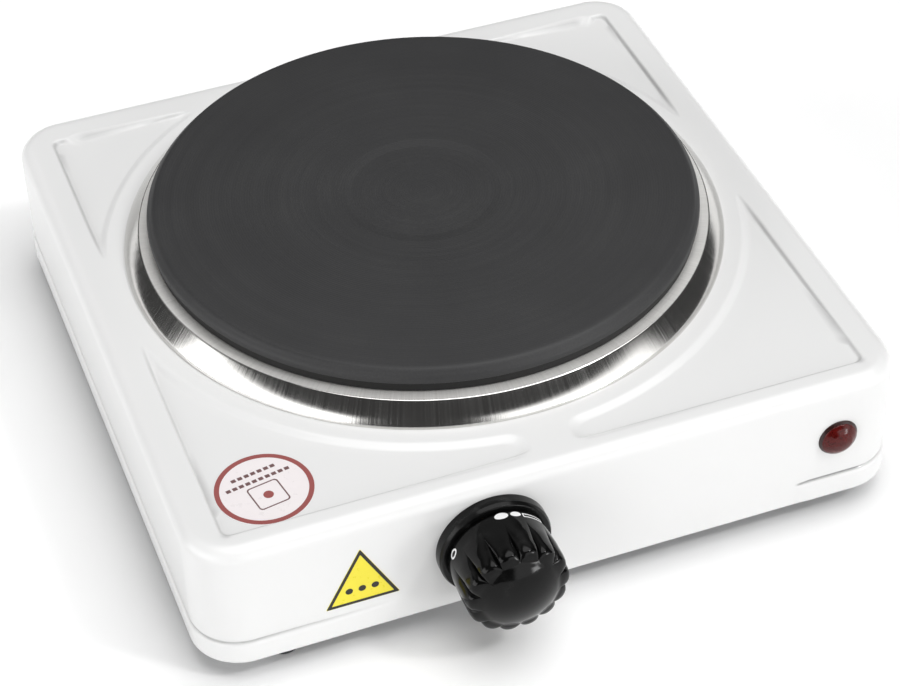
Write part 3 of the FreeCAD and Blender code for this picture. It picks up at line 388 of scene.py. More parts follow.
def stainless():
    """Bright pressed stainless steel with a circular brushed grain."""
    s = Shader("stainless_steel")
    s.set(Anisotropic=0.5)
    tangent = s.add("ShaderNodeTangent", direction_type="RADIAL", axis="Z")
    s.link(tangent.outputs[0], s.surface.inputs["Tangent"])
    streak = s.noise(1.0, 4.0, 0.65, s.round_vector(30.0, 190.0, 30.0))
    hair = s.noise(1.0, 3.0, 0.6, s.round_vector(2600.0, 5.0, 2600.0))
    smudge = s.noise(45.0, 4.0)
    colour = s.ramp(s.math("ADD", s.math("MULTIPLY", streak, 0.6), s.math("MULTIPLY", smudge, 0.4)),
                    [(0.3, (0.60, 0.59, 0.57)), (0.65, (0.78, 0.77, 0.75))])
    radius = s.polar()[0]
    ledge = s.spread(radius, LEDGE_EDGE + 0.2 * MM, LEDGE_EDGE - 0.1 * MM)
    s.link(s.spread(ledge, 0.0, 1.0, 1.0, 0.35), s.surface.inputs["Metallic"])
    satin = s.math("MULTIPLY", ledge, 0.3)
    rough = s.math("ADD", s.spread(streak, 0.3, 0.72, 0.08, 0.20), satin)
    normal = s.bump(hair, 0.00001, 0.35, s.bump(streak, 0.00005, 0.30))
    return s.done(colour, rough, normal)


def black_plastic(name, low, high, tone, bend):
    """Glossy moulded plastic with a faint flow pattern and scuffs; bend is its refraction."""
    s = Shader(name)
    s.set(IOR=bend)
    cloud = s.noise(160.0, 4.0)
    colour = s.ramp(cloud, [(0.3, (tone * 0.7,) * 3), (0.55, (tone * 1.3,) * 3),
                            (0.75, (tone * 4.0,) * 3)])
    rough = s.spread(s.noise(420.0, 5.0, 0.65), 0.3, 0.7, low, high)
    normal = s.bump(s.noise(700.0, 3.0), 0.00002, 0.35)
    return s.done(colour, rough, normal)


def red_lens():
    """Red moulded lens with fine prisms inside."""
    s = Shader("red_lens")
    s.set(IOR=1.36, Transmission_Weight=0.3)
    depth = s.noise(380.0, 3.0)
    cells = s.add("ShaderNodeTexVoronoi")
    cells.inputs["Scale"].default_value = 2200.0
    s.link(s.place, cells.inputs["Vector"])
    mix = s.math("ADD", s.math("MULTIPLY", depth, 0.6),
                 s.math("MULTIPLY", cells.outputs["Distance"], 0.4))
    colour = s.ramp(mix, [(0.25, (0.05, 0.003, 0.002)), (0.6, (0.12, 0.006, 0.005))])
    rough = s.spread(depth, 0.3, 0.7, 0.08, 0.18)
    return s.done(colour, rough, s.bump(cells.outputs["Distance"], 0.00002, 0.2))


def sheet_metal(name, tone, rough_low=0.28, rough_high=0.46, spangle=70.0):
    """Plated or rolled sheet: crystal patches and rolling lines."""
    s = Shader(name)
    s.set(Metallic=1.0)
    cells = s.add("ShaderNodeTexVoronoi")
    cells.inputs["Scale"].default_value = spangle
    s.link(s.place, cells.inputs["Vector"])
    lines = s.noise(60.0, 4.0, 0.6, stretch=(1.0, 14.0, 14.0))
    shade = s.math("ADD", s.math("MULTIPLY", cells.outputs["Distance"], 0.35),
                   s.math("MULTIPLY", lines, 0.65))
    dark = tuple(channel * 0.78 for channel in tone)
    colour = s.ramp(shade, [(0.25, dark), (0.7, tone)])
    rough = s.spread(shade, 0.2, 0.75, rough_low, rough_high)
    return s.done(colour, rough, s.bump(lines, 0.00004, 0.35))


def plain_stuff(name, tone, rough_low, rough_high, scale=300.0, depth=0.00004, vary=0.85):
    """Non-metal with speckle and fine relief: rubber, ceramic, film."""
    s = Shader(name)
    speck = s.noise(scale, 5.0, 0.65)
    cloud = s.noise(scale / 12, 3.0)
    mix = s.math("ADD", s.math("MULTIPLY", speck, 0.5), s.math("MULTIPLY", cloud, 0.5))
    dark = tuple(channel * vary for channel in tone)
    colour = s.ramp(mix, [(0.3, dark), (0.7, tone)])
    rough = s.spread(speck, 0.3, 0.7, rough_low, rough_high)
    return s.done(colour, rough, s.bump(speck, depth, 0.5))


def braid(name, tone):
    """Woven sleeve of a wire."""
    s = Shader(name)
    weave = s.add("ShaderNodeTexWave", wave_type="BANDS", bands_direction="DIAGONAL")
    weave.inputs["Scale"].default_value = 900.0
    weave.inputs["Distortion"].default_value = 2.0
    s.link(s.place, weave.inputs["Vector"])
    dark = tuple(channel * 0.6 for channel in tone)
    colour = s.ramp(weave.outputs["Fac"], [(0.2, dark), (0.8, tone)])
    rough = s.spread(s.noise(500.0), 0.3, 0.7, 0.5, 0.7)
    return s.done(colour, rough, s.bump(weave.outputs["Fac"], 0.0001, 0.5))


def glass():
    s = Shader("clear_glass")
    s.set(IOR=1.5, Transmission_Weight=1.0)
    cloud = s.noise(200.0)
    colour = s.ramp(cloud, [(0.3, (0.95, 0.90, 0.86)), (0.7, (1.0, 0.98, 0.95))])
    return s.done(colour, s.spread(cloud, 0.3, 0.7, 0.02, 0.06))


# ---- materials

ENAMEL = enamel()
IRON = cast_iron()
STEEL_RING = stainless()
KNOB_PLASTIC = black_plastic("black_plastic", 0.06, 0.14, 0.0026, 1.28)
BEZEL_PLASTIC = black_plastic("bezel_plastic", 0.16, 0.26, 0.0038, 1.27)
LAMP_RIM = plain_stuff("lamp_rim", (0.026, 0.006, 0.005), 0.2, 0.3, 500.0, 0.00001, 0.8)
LENS = red_lens()
MARK_PAINT = plain_stuff("mark_paint", (0.86, 0.86, 0.86), 0.35, 0.5, 900.0, 0.00001, 0.95)
LABEL_WHITE = plain_stuff("label_film", (0.86, 0.81, 0.815), 0.25, 0.36, 400.0, 0.00001, 0.97)
LABEL_RED = plain_stuff("label_red", (0.33, 0.085, 0.08), 0.28, 0.38, 500.0, 0.00001, 0.88)
LABEL_BROWN = plain_stuff("label_brown", (0.17, 0.09, 0.09), 0.28, 0.38, 500.0, 0.00001, 0.85)
LABEL_YELLOW = plain_stuff("yellow_film", (0.86, 0.74, 0.035), 0.25, 0.36, 400.0, 0.00001, 0.95)
LABEL_BLACK = plain_stuff("label_black", (0.009, 0.008, 0.006), 0.4, 0.5, 500.0, 0.00001, 0.8)

BY_SLOT = {
    "white_enamel": ENAMEL,
    "cast_iron": IRON,
    "stainless_steel": STEEL_RING,
    "black_plastic": KNOB_PLASTIC,
    "red_lens": LENS,
    "label_film": LABEL_WHITE,
    "yellow_film": LABEL_YELLOW,
    "galvanised_steel": sheet_metal("galvanised_steel", (0.62, 0.63, 0.64)),
    "zinc_steel": sheet_metal("zinc_steel", (0.68, 0.67, 0.64), 0.2, 0.34, 500.0),
    "spring_steel": sheet_metal("spring_steel", (0.42, 0.41, 0.42), 0.22, 0.36, 300.0),
    "heating_alloy": sheet_metal("heating_alloy", (0.30, 0.28, 0.26), 0.4, 0.6, 300.0),
    "brass": sheet_metal("brass", (0.76, 0.56, 0.25), 0.2, 0.36, 400.0),
    "black_rubber": plain_stuff("black_rubber", (0.028, 0.028, 0.028), 0.62, 0.82, 700.0, 0.00005),
    "ceramic": plain_stuff("ceramic", (0.82, 0.79, 0.72), 0.5, 0.7, 500.0),
    "clear_glass": glass(),
    "brown_wire": braid("brown_wire", (0.20, 0.09, 0.045)),
    "blue_wire": braid("blue_wire", (0.05, 0.13, 0.42)),
    "green_wire": braid("green_wire", (0.16, 0.40, 0.09)),
    "white_wire": braid("white_wire", (0.80, 0.80, 0.77)),
}

for entry in frame["record"]["subparts"]:
    carried = nodes[entry["node"]]
    carried.data.materials.clear()
    carried.data.materials.append(BY_SLOT[entry["material_slot"]])
    carried.data.polygons.foreach_set("use_smooth", [True] * len(carried.data.polygons))
    carried.data.set_sharp_from_angle(angle=math.radians(30))

# ---- housing

WALL = 0.9 * MM
CORNER = 16.0 * MM            # plan radius of the upright corners
TOP_ROUND = 5.0 * MM
BAND_TALL = 8.0 * MM
BAND_PROUD = 0.4 * MM
GROOVE_DEEP = 0.6 * MM
CREASE_SHADE = 0.75            # share of shadow colour in the crease above the band
PANEL_SHADE = 0.38             # the same along the panels' edges
PANEL_DEEP = 1.2 * MM
PANEL_SIDE = 106.5 * MM
PANEL_FRONT = 116.9 * MM
PANEL_REAR = 95.0 * MM
PANEL_ARC = 106.7 * MM
BRIDGE_FRONT = 6.5 * MM
BRIDGE_SIDE = 21.5 * MM
BRIDGE_REAR = 52.0 * MM
OPENING = 90.0 * MM
LOOP_POINTS = 1200


def housing_loop():
    """Points and outward normals along the upper wall's rounded rectangle."""
    half_x = (housing_high.x - housing_low.x) / 2 - BAND_PROUD
    low_y = housing_low.y + BAND_PROUD
    high_y = housing_high.y - BAND_PROUD
    straight_x = 2 * (half_x - CORNER)
    straight_y = high_y - low_y - 2 * CORNER
    arc = math.pi / 2 * CORNER
    sides = [
        (straight_x, (-half_x + CORNER, low_y), (1, 0), (0, -1)),
        (straight_y, (half_x, low_y + CORNER), (0, 1), (1, 0)),
        (straight_x, (half_x - CORNER, high_y), (-1, 0), (0, 1)),
        (straight_y, (-half_x, high_y - CORNER), (0, -1), (-1, 0)),
    ]
    around = 2 * (straight_x + straight_y) + 4 * arc
    points = []
    normals = []
    for step in range(LOOP_POINTS):
        travel = around * step / LOOP_POINTS
        for length, start, way, out in sides:
            if travel < length:
                points.append((start[0] + way[0] * travel, start[1] + way[1] * travel))
                normals.append(out)
                break
            travel -= length
            if travel < arc:
                angle = travel / CORNER
                centre = (start[0] + way[0] * length - out[0] * CORNER,
                          start[1] + way[1] * length - out[1] * CORNER)
                normal = (out[0] * math.cos(angle) + way[0] * math.sin(angle),
                          out[1] * math.cos(angle) + way[1] * math.sin(angle))
                points.append((centre[0] + normal[0] * CORNER, centre[1] + normal[1] * CORNER))
                normals.append(normal)
                break
            travel -= arc
    return np.array(points), np.array(normals)


def smooth_least(values, blend):
    """Smallest of several arrays, with the corners between them rounded."""
    result = values[0]
    for value in values[1:]:
        gap = np.clip(0.5 + 0.5 * (value - result) / blend, 0, 1)
        result = value * (1 - gap) + result * gap - blend * gap * (1 - gap)
    return result


def panel_shape(x, y):
    """How far the corner panels sink at points given from the plate's axis, and where their
    outer edges run, as the weight of the painted shade along them."""
    radius = np.hypot(x, y)
    front = y < 0
    outer_y = np.where(front, PANEL_FRONT + y, PANEL_REAR - y)
    bridge = np.where(front, np.abs(x) - BRIDGE_FRONT, np.abs(x) - BRIDGE_REAR)
    steep = 1.5 * MM
    gentle = 3.2 * MM
    edges = [
        (PANEL_SIDE - np.abs(x)) / steep,
        outer_y / steep,
        (np.abs(y) - BRIDGE_SIDE) / steep,
        (radius - PANEL_ARC) / gentle,
        bridge / gentle,
    ]
    ease = np.clip(smooth_least(edges, 2.0), 0, 1)
    border = np.clip(smooth_least(edges[:3], 2.0), 0, 1)
    edge = 4 * border * (1 - border) * np.clip(ease * 2, 0, 1)
    return PANEL_DEEP * ease * ease * (3 - 2 * ease), edge


def band_weight(points):
    """1 where the rim's band shows, 0 along the plain middle of the front wall."""
    x = points[:, 0]
    left = np.clip((-50 * MM - x) / (38 * MM), 0, 1)
    right = np.clip((x - 80 * MM) / (5 * MM), 0, 1)
    on_front = points[:, 1] < FRONT + 0.5 * MM
    weight = np.maximum(left * left * (3 - 2 * left), right)
    return np.where(on_front, weight, 1.0)


def crease_shade_weight(points):
    """How strongly the painted shade line in the crease above the rim's band shows along the wall.
    """
    x = points[:, 0]
    behind = (points[:, 1] - FRONT) / (20 * MM)
    left = 0.5 * np.clip((-60 * MM - x) / (40 * MM), 0, 1)
    right = np.clip((x - 80 * MM) / (1.5 * MM), 0, 1)
    right *= 1 - 0.6 * np.clip((x - 101 * MM) / (4 * MM), 0, 1)
    front = np.maximum(left, right)
    return CREASE_SHADE * np.where(behind < 0.03, front, 0.2 + 0.2 * np.exp(-behind))


def row_travel(length):
    """Distances along a ray across the flat top, close together where the panels' edges are."""
    inner = [0, 8, 13.4] + [13.9 + 0.4 * k for k in range(16)]
    outer = [9.4 - 0.4 * k for k in range(15)] + [2.2, 0]
    inner = np.array(inner) * MM
    outer = np.array(outer) * MM
    needed = inner[-1] + outer[0] + 1.5 * MM
    fit = np.minimum(1, length / needed)[:, None]
    near = inner[None, :] * fit
    far = length[:, None] - outer[None, :] * fit
    share = (np.arange(1, 9) / 9)[None, :]
    between = near[:, -1:] * (1 - share) + far[:, :1] * share
    return np.concatenate([near, between, far], axis=1)


def make_housing():
    """Pressed shell: one skin of loops from the plate opening over the top, down the wall, round
    the rim and back up inside."""
    points, normals = housing_loop()
    weight = band_weight(points)[:, None]
    axis = np.array([PLATE_X, PLATE_Y])
    edge = points - normals * TOP_ROUND
    ray = edge - axis
    reach = np.hypot(ray[:, 0], ray[:, 1])
    ray = ray / reach[:, None]
    travel = row_travel(reach - OPENING)
    flat = []
    painted_shades = []
    for row in range(travel.shape[1]):
        spot = axis + ray * (OPENING + travel[:, row])[:, None]
        sink, edge = panel_shape(spot[:, 0] - axis[0], spot[:, 1] - axis[1])
        flat.append((spot, sink))
        # painted shade along the panels' outer edges, as a per-vertex weight
        painted_shades.append(edge * PANEL_SHADE)
    loops = [np.column_stack([spot, TOP - sink]) for spot, sink in flat]

    def wall_loop(inset, height):
        spot = points - normals * inset
        return np.column_stack([spot, np.full(len(points), height)])

    for step in range(1, 11):
        angle = math.pi / 2 * step / 10
        loops.append(wall_loop(TOP_ROUND * (1 - math.sin(angle)),
                               TOP - TOP_ROUND * (1 - math.cos(angle))))
    crease = RIM + BAND_TALL
    plain = np.zeros(len(points))
    for height, out in ((6.0, 0), (1.6, 0), (1.0, -0.25), (0.5, -1), (0.0, -1), (-0.4, 0.0),
                        (-0.9, 0.85), (-1.5, 1)):
        push = weight * (out * GROOVE_DEEP if out < 0 else out * BAND_PROUD)
        painted_shades += [plain] * (len(loops) - len(painted_shades))
        # painted shade in the crease: the weight goes on the groove's two deepest loops
        painted_shades.append(crease_shade_weight(points) if out == -1 else plain)
        loops.append(wall_loop(-push, crease + height * MM))
    for height, out in ((1.2, 1), (0.35, 1), (0.1, 0.8), (0.0, 0.2)):
        loops.append(wall_loop(-weight * BAND_PROUD * out, RIM + height * MM))
    inner = WALL - weight * BAND_PROUD
    for height in (0.0, 0.3, 6.8):
        loops.append(wall_loop(inner, RIM + height * MM))
    loops.append(wall_loop(WALL, crease + 0.4 * MM))
    bend = TOP_ROUND - WALL
    for step in range(7):
        angle = math.pi / 2 * (1 - step / 6)
        loops.append(wall_loop(WALL + bend * (1 - math.sin(angle)),
                               TOP - WALL - bend * (1 - math.cos(angle))))
    for spot, sink in reversed(flat[:-1]):
        loops.append(np.column_stack([spot, TOP - WALL - sink]))
    verts = np.concatenate(loops)
    rows = len(loops)
    faces = grid_faces(rows, LOOP_POINTS, wrap=True)
    shell = make_object("housing_shell", verts, faces, ENAMEL)
    painted_shades += [plain] * (rows - len(painted_shades))
    # per-vertex weight of painted shade, read by the enamel's colour
    shell.data.attributes.new("painted_shade", "FLOAT", "POINT")
    shell.data.attributes["painted_shade"].data.foreach_set("value", np.concatenate(painted_shades))
    tidy_normals(shell, 50)
    drill(shell, [
        ((KNOB_X, FRONT, KNOB_Z), 5.1 * MM),
        ((LAMP_X, FRONT, LAMP_Z), 5.5 * MM),
        ((middle("cable_gland").x, housing_high.y, middle("cable_gland").z), 6.3 * MM),
    ])
    return add_piece(shell, "housing", ["top_housing"])


def drill(thing, holes):
    """Cut round holes through a wall that faces front or rear."""
    for index, (centre, radius) in enumerate(holes):
        work = bmesh.new()
        bmesh.ops.create_cone(work, cap_ends=True, segments=64, radius1=radius, radius2=radius,
                              depth=6 * MM)
        mesh = bpy.data.meshes.new(f"drill_{index}")
        work.to_mesh(mesh)
        work.free()
        tool = placed(f"drill_{index}", mesh)
        tool.rotation_euler = (math.pi / 2, 0, 0)
        tool.location = centre
        bore = thing.modifiers.new("bore", "BOOLEAN")
        bore.operation = "DIFFERENCE"
        bore.solver = "EXACT"
        bore.object = tool
        bpy.context.view_layer.update()
        with bpy.context.temp_override(object=thing, active_object=thing):
            bpy.ops.object.modifier_apply(modifier=bore.name)
        bpy.data.objects.remove(tool)
    thing.data.set_sharp_from_angle(angle=math.radians(50))


# ---- cooking plate and ring

def make_plate():
    """Cast disc with a shallow turned middle, a soft rim and a stepped underside."""
    under = plate_low.z - PLATE_TOP
    body_radius = 83.5 * MM
    radius = PLATE_RADIUS
    profile = [
        (0, -0.35 * MM, 0),
        (24.2 * MM, -0.35 * MM, 4.0 * MM),
        (28.0 * MM, 0, 4.0 * MM),
        (88.0 * MM, 0, 0),
        (radius - 2.3 * MM, -0.25 * MM, 2.0 * MM),
        (radius - 0.2 * MM, -2.6 * MM, 1.4 * MM),
        (radius, -3.6 * MM, 0),
        (radius, -4.6 * MM, 0.3 * MM),
        (radius - 0.9 * MM, -5.0 * MM, 0.3 * MM),
        (radius - 0.7 * MM, -8.1 * MM, 0.2 * MM),
        (radius - 4 * MM, -8.1 * MM, 0),
        (radius - 4 * MM, -8.4 * MM, 0),
        (body_radius, -8.4 * MM, 0),
        (body_radius, -19.3 * MM, 0.6 * MM),
        (body_radius - 0.8 * MM, -19.8 * MM, 0),
        (80 * MM, -19.8 * MM, 0),
        (80 * MM, -10.8 * MM, 0),
        (62 * MM, -10.8 * MM, 0),
        (62 * MM, -19.8 * MM, 0),
        (57 * MM, -19.8 * MM, 0),
        (57 * MM, -10.8 * MM, 0),
        (36 * MM, -10.8 * MM, 0),
        (36 * MM, -19.8 * MM, 0),
        (14 * MM, -19.8 * MM, 0),
        (14 * MM, under, 0.4 * MM),
        (4.05 * MM, under, 0),
        (4.05 * MM, -9.6 * MM, 0),
        (0, -9.6 * MM, 0),
    ]
    disc = turned("plate_disc", rounded_path(profile), (PLATE_X, PLATE_Y, PLATE_TOP), IRON,
                  segments=360)
    return add_piece(disc, "housing", ["hotplate"])


def bend(start, end, slope_start, slope_end, steps, grip=(0.4, 0.4)):
    """Smooth curve between two (radius, height) points that leaves and arrives at the given
    slopes, in degrees above the level line towards the axis; grip is how firmly."""
    start, end = Vector(start), Vector(end)
    length = (end - start).length
    points = []
    for step in range(steps + 1):
        t = step / steps
        handles = [start]
        for base, slope, share in ((start, slope_start, grip[0]), (end, slope_end, -grip[1])):
            way = Vector((-math.cos(math.radians(slope)), math.sin(math.radians(slope))))
            handles.append(base + way * length * share)
        handles.append(end)
        a, b, c, d = handles
        points.append(a * (1 - t) ** 3 + b * 3 * t * (1 - t) ** 2 + c * 3 * t * t * (1 - t)
                      + d * t ** 3)
    return points


def make_ring():
    """Pressed ring: bowed flank that steepens towards the foot, tight shoulder, inner ledge."""
    ledge = ring_high.z - TOP
    thick = 0.8 * MM
    outer = RING_RADIUS
    inner = 84.1 * MM
    foot = rounded_path([
        (inner, ledge - thick, 0),
        (94.9 * MM, ledge - thick, 1.2 * MM),
        (98.4 * MM, 3.2 * MM, 3.0 * MM),
        (100.0 * MM, 0.02 * MM, 0.3 * MM),
        (outer, 0.0, 0.0),
        (outer, 0.4 * MM, 0),
    ], 8)
    flank = bend((outer, 0.4 * MM), (95.9 * MM, ledge - 0.2 * MM), 84, 45, 28, (0.15, 0.5))
    shoulder = bend((95.9 * MM, ledge - 0.2 * MM), (LEDGE_EDGE, ledge), 46, 0, 6)
    profile = foot + flank[1:] + shoulder[1:] + [Vector((inner, ledge))]
    ring = turned("ring", profile, (PLATE_X, PLATE_Y, TOP), STEEL_RING, segments=512)
    return add_piece(ring, "housing", ["trim_ring"])


# ---- knob, bezel and lamp

KNOB_REACH = FRONT - knob_low.y
LOBES = 14


def make_bezel():
    profile = [
        (12.0 * MM, 0, 0),
        (18.4 * MM, 0, 0),
        (18.4 * MM, 3.2 * MM, 0.8 * MM),
        (17.8 * MM, 4.5 * MM, 0.5 * MM),
        (15.4 * MM, 4.5 * MM, 0.4 * MM),
        (15.2 * MM, 2.0 * MM, 0.3 * MM),
        (12.0 * MM, 2.0 * MM, 0),
    ]
    bezel = turned("bezel_ring", rounded_path(profile), (KNOB_X, FRONT, KNOB_Z), BEZEL_PLASTIC,
                   axis="y")
    return add_piece(bezel, "housing", ["knob_bezel"])


BASE_LOW = 5.4 * MM             # the knob's plain ring, from the wall
BASE_TOP = 9.0 * MM
BASE_RADIUS = 16.35 * MM        # at its low edge
CROWN_RADIUS = 22.0 * MM        # dome of the face
LOBE_RADIUS = 16.5 * MM


def knob_profiles():
    """The grip's outline through a valley and through a lobe, point for point, as
    (radius, height) from the wall, from the base's outer edge to the middle of the face."""
    face = []
    for step in range(9):
        radius = 12.8 * MM * (1 - step / 8)
        dip = CROWN_RADIUS - math.sqrt(CROWN_RADIUS ** 2 - radius ** 2)
        face.append((radius, KNOB_REACH - dip))
    valley = [(BASE_RADIUS, BASE_LOW), (LOBE_RADIUS, BASE_TOP), (16.45 * MM, 12.2 * MM),
              (16.1 * MM, 14.8 * MM), (15.4 * MM, 17.4 * MM), (14.85 * MM, 19.8 * MM),
              (14.45 * MM, 21.9 * MM), (13.75 * MM, 23.45 * MM)] + face
    lobe = [(BASE_RADIUS, BASE_LOW), (LOBE_RADIUS, BASE_TOP), (16.65 * MM, 12.0 * MM),
            (16.8 * MM, 14.6 * MM), (16.8 * MM, 17.6 * MM), (16.75 * MM, 20.8 * MM),
            (16.2 * MM, 23.0 * MM), (14.7 * MM, 23.9 * MM)] + face
    return valley, lobe


def smooth_line(points, steps):
    """Curve through all the points, with the given number of steps between neighbours."""
    spots = [Vector(p) for p in points]
    spots = [spots[0] * 2 - spots[1]] + spots + [spots[-1] * 2 - spots[-2]]
    line = []
    for index in range(1, len(spots) - 2):
        before, a, b, after = spots[index - 1:index + 3]
        for step in range(steps):
            t = step / steps
            line.append(0.5 * (2 * a + (b - before) * t
                               + (2 * before - 5 * a + 4 * b - after) * t * t
                               + (3 * a - before - 3 * b + after) * t ** 3))
    line.append(spots[-2])
    return line


def make_knob():
    """Hollow knob: plain ring at the base, rounded lobes with narrow valleys, domed face."""
    valley, lobe = (smooth_line(line, 6) for line in knob_profiles())
    segments = LOBES * 40
    rows = len(valley) - 1
    verts = []
    for low, high in zip(valley[:-1], lobe[:-1]):
        for step in range(segments):
            angle = 2 * math.pi * step / segments
            phase = abs(((angle * LOBES / (2 * math.pi) + 0.5) % 1.0) - 0.5) * 2
            fullness = math.sqrt(max(0.0, 1 - phase ** 2.3))
            spot = low.lerp(high, fullness)
            verts.append((spot.x * math.cos(angle), -spot.y, spot.x * math.sin(angle)))
    floor = KNOB_REACH - 6.0 * MM
    inside = [(16.0 * MM, 5.0 * MM), (14.0 * MM, 5.0 * MM), (12.6 * MM, floor),
              (6.0 * MM, floor), (6.0 * MM, 7.0 * MM), (3.25 * MM, 7.0 * MM), (3.25 * MM, floor)]
    under = []
    for radius, height in reversed(inside):
        for step in range(segments):
            angle = 2 * math.pi * step / segments
            under.append((radius * math.cos(angle), -height, radius * math.sin(angle)))
    loops = len(inside) + rows
    verts = under + verts + [(0, -floor, 0), (0, -KNOB_REACH, 0)]
    faces = grid_faces(loops, segments)
    faces += cap_faces(loops, segments, len(verts) - 2, len(verts) - 1)
    grip = make_object("knob_grip", verts, faces, KNOB_PLASTIC)
    grip.location = (KNOB_X, FRONT, KNOB_Z)
    tidy_normals(grip, 60)
    return add_piece(grip, "knob", ["knob"])


def base_point(around_angle, out, lift):
    """Point on the knob's plain ring: angle about the axis, distance from the wall, lift."""
    t = (out - BASE_LOW) / (BASE_TOP - BASE_LOW)
    radius = BASE_RADIUS + (LOBE_RADIUS - BASE_RADIUS) * t + lift
    return (radius * math.cos(around_angle), -out, radius * math.sin(around_angle))


PAINT_LIFT = (-0.04 * MM, 0.05 * MM)     # paint's two faces, from the plastic


def painted_patch(name, rings, middle_angle, height, closed_middle):
    """Thin paint on the plain ring.  rings are matching closed outlines of (around, out)
    offsets from the outside in; closed_middle fills the last one."""
    count = len(rings[0])
    verts = []
    for lift in PAINT_LIFT:
        for ring in rings:
            for around, out in ring:
                angle = math.radians(middle_angle) + around / LOBE_RADIUS
                verts.append(base_point(angle, height + out, lift))
    layer = len(rings) * count
    faces = []
    for top in (0, layer):
        faces += grid_faces(len(rings), count, top)
    last = (len(rings) - 1) * count
    for step in range(count):
        after = (step + 1) % count
        faces.append((step, after, layer + after, layer + step))
        if not closed_middle:
            faces.append((last + step, last + after, layer + last + after, layer + last + step))
    if closed_middle:
        for top, lift in zip((0, layer), PAINT_LIFT):
            verts.append(base_point(math.radians(middle_angle), height, lift))
            centre = len(verts) - 1
            for step in range(count):
                faces.append((top + last + step, top + last + (step + 1) % count, centre))
    mark = make_object(name, verts, faces, MARK_PAINT, smooth=False)
    mark.location = (KNOB_X, FRONT, KNOB_Z)
    tidy_normals(mark)
    return add_piece(mark, "knob")


def oval(half_around, half_out, count=48):
    return [(half_around * math.cos(2 * math.pi * k / count),
             half_out * math.sin(2 * math.pi * k / count)) for k in range(count)]


def wedge(half_long, half_start, half_end, steps=16):
    """Long four-sided outline, with points along its sides."""
    corners = [(-half_long, -half_start), (half_long, -half_end), (half_long, half_end),
               (-half_long, half_start)]
    loop = []
    for index, start in enumerate(corners):
        end = corners[(index + 1) % 4]
        for step in range(steps):
            t = step / steps
            loop.append((start[0] + (end[0] - start[0]) * t, start[1] + (end[1] - start[1]) * t))
    return loop


MARK_OUT = 7.3 * MM             # marks' middle, from the wall


def make_marks():
    """White painted marks round the knob's base: off ring, two dots and a long open wedge."""
    painted_patch("mark_off", [oval(1.9 * MM, 1.35 * MM), oval(1.25 * MM, 0.75 * MM)],
                  157, MARK_OUT, False)
    for name, half, angle in (("mark_large", 2.2, 88), ("mark_small", 1.75, 71.5)):
        loops = [oval(half * MM * k, half * 0.6 * MM * k) for k in (1.0, 0.66, 0.33)]
        painted_patch(name, loops, angle, MARK_OUT - 0.4 * MM, True)
    painted_patch("mark_wedge", [wedge(3.9 * MM, 0.75 * MM, 0.85 * MM),
                                 wedge(3.5 * MM, 0.42 * MM, 0.48 * MM)], 50, MARK_OUT, False)


def make_lamp():
    """Red domed lens in its thin dark flange."""
    flange = (sleeve_high.x - sleeve_low.x) / 2
    deep = sleeve_high.y - FRONT
    sleeve = turned("lamp_flange", rounded_path([
        (4.5 * MM, 0.9 * MM, 0),
        (5.9 * MM, 0.95 * MM, 0.2 * MM),
        (flange - 0.1 * MM, 0.3 * MM, 0.1 * MM),
        (flange, 0.0, 0),
        (5.4 * MM, 0.0, 0),
        (5.4 * MM, -deep, 0),
        (4.5 * MM, -deep, 0),
    ]), (LAMP_X, FRONT, LAMP_Z), LAMP_RIM, axis="y", segments=128)
    add_piece(sleeve, "housing", ["lamp_sleeve"])
    reach = FRONT - lens_low.y
    rim = (lens_high.x - lens_low.x) / 2
    lens = turned("lens_dome", rounded_path([
        (0, reach, 0),
        (2.0 * MM, reach - 0.12 * MM, 0),
        (3.6 * MM, reach - 0.55 * MM, 1.0 * MM),
        (5.1 * MM, reach - 1.5 * MM, 1.0 * MM),
        (rim, 1.3 * MM, 0.3 * MM),
        (rim, 0.96 * MM, 0),
        (4.4 * MM, 0.96 * MM, 0),
        (4.4 * MM, -3.0 * MM, 0),
        (3.4 * MM, -3.0 * MM, 0),
        (3.4 * MM, 0.6 * MM, 0.4 * MM),
        (0, 1.4 * MM, 0),
    ]), (LAMP_X, FRONT, LAMP_Z), LENS, axis="y", segments=128)
    add_piece(lens, "housing", ["lamp_lens"])


# ---- labels

LABEL_TURN = 10.0               # degrees the round film is stuck on crooked
FILM = 0.10 * MM
PRINT = (0.08 * MM, 0.13 * MM)  # heights of the print, from the film's underside


def ring_loop(radius, count=128):
    return oval(radius, radius, count)


def band_mesh(name, outer, inner, low, high, material):
    """Flat closed band between two matching loops."""
    count = len(outer)
    verts = []
    for height in (low, high):
        verts += [(x, y, height) for x, y in outer]
        verts += [(x, y, height) for x, y in inner]
    faces = []
    for i in range(count):
        j = (i + 1) % count
        top, hole = 2 * count, 3 * count
        faces += [(i, j, count + j, count + i),
                  (top + i, hole + i, hole + j, top + j),
                  (i, top + i, top + j, j),
                  (count + i, count + j, hole + j, hole + i)]
    thing = make_object(name, verts, faces, material, smooth=False)
    tidy_normals(thing)
    return thing


def stroke(points, width):
    """Closed outline of a line of constant width with round ends."""
    left, right = [], []
    for index, point in enumerate(points):
        before = Vector(points[max(index - 1, 0)])
        after = Vector(points[min(index + 1, len(points) - 1)])
        way = (after - before).normalized()
        side = Vector((-way.y, way.x)) * width / 2
        left.append(tuple(Vector(point) + side))
        right.append(tuple(Vector(point) - side))
    return left + right[::-1]


def rounded_square(half, radius, steps=6):
    loop = []
    for corner, (sx, sy) in enumerate(((1, 1), (-1, 1), (-1, -1), (1, -1))):
        for step in range(steps + 1):
            angle = math.pi / 2 * (corner + step / steps)
            loop.append((sx * (half - radius) + radius * math.cos(angle),
                         sy * (half - radius) + radius * math.sin(angle)))
    return loop


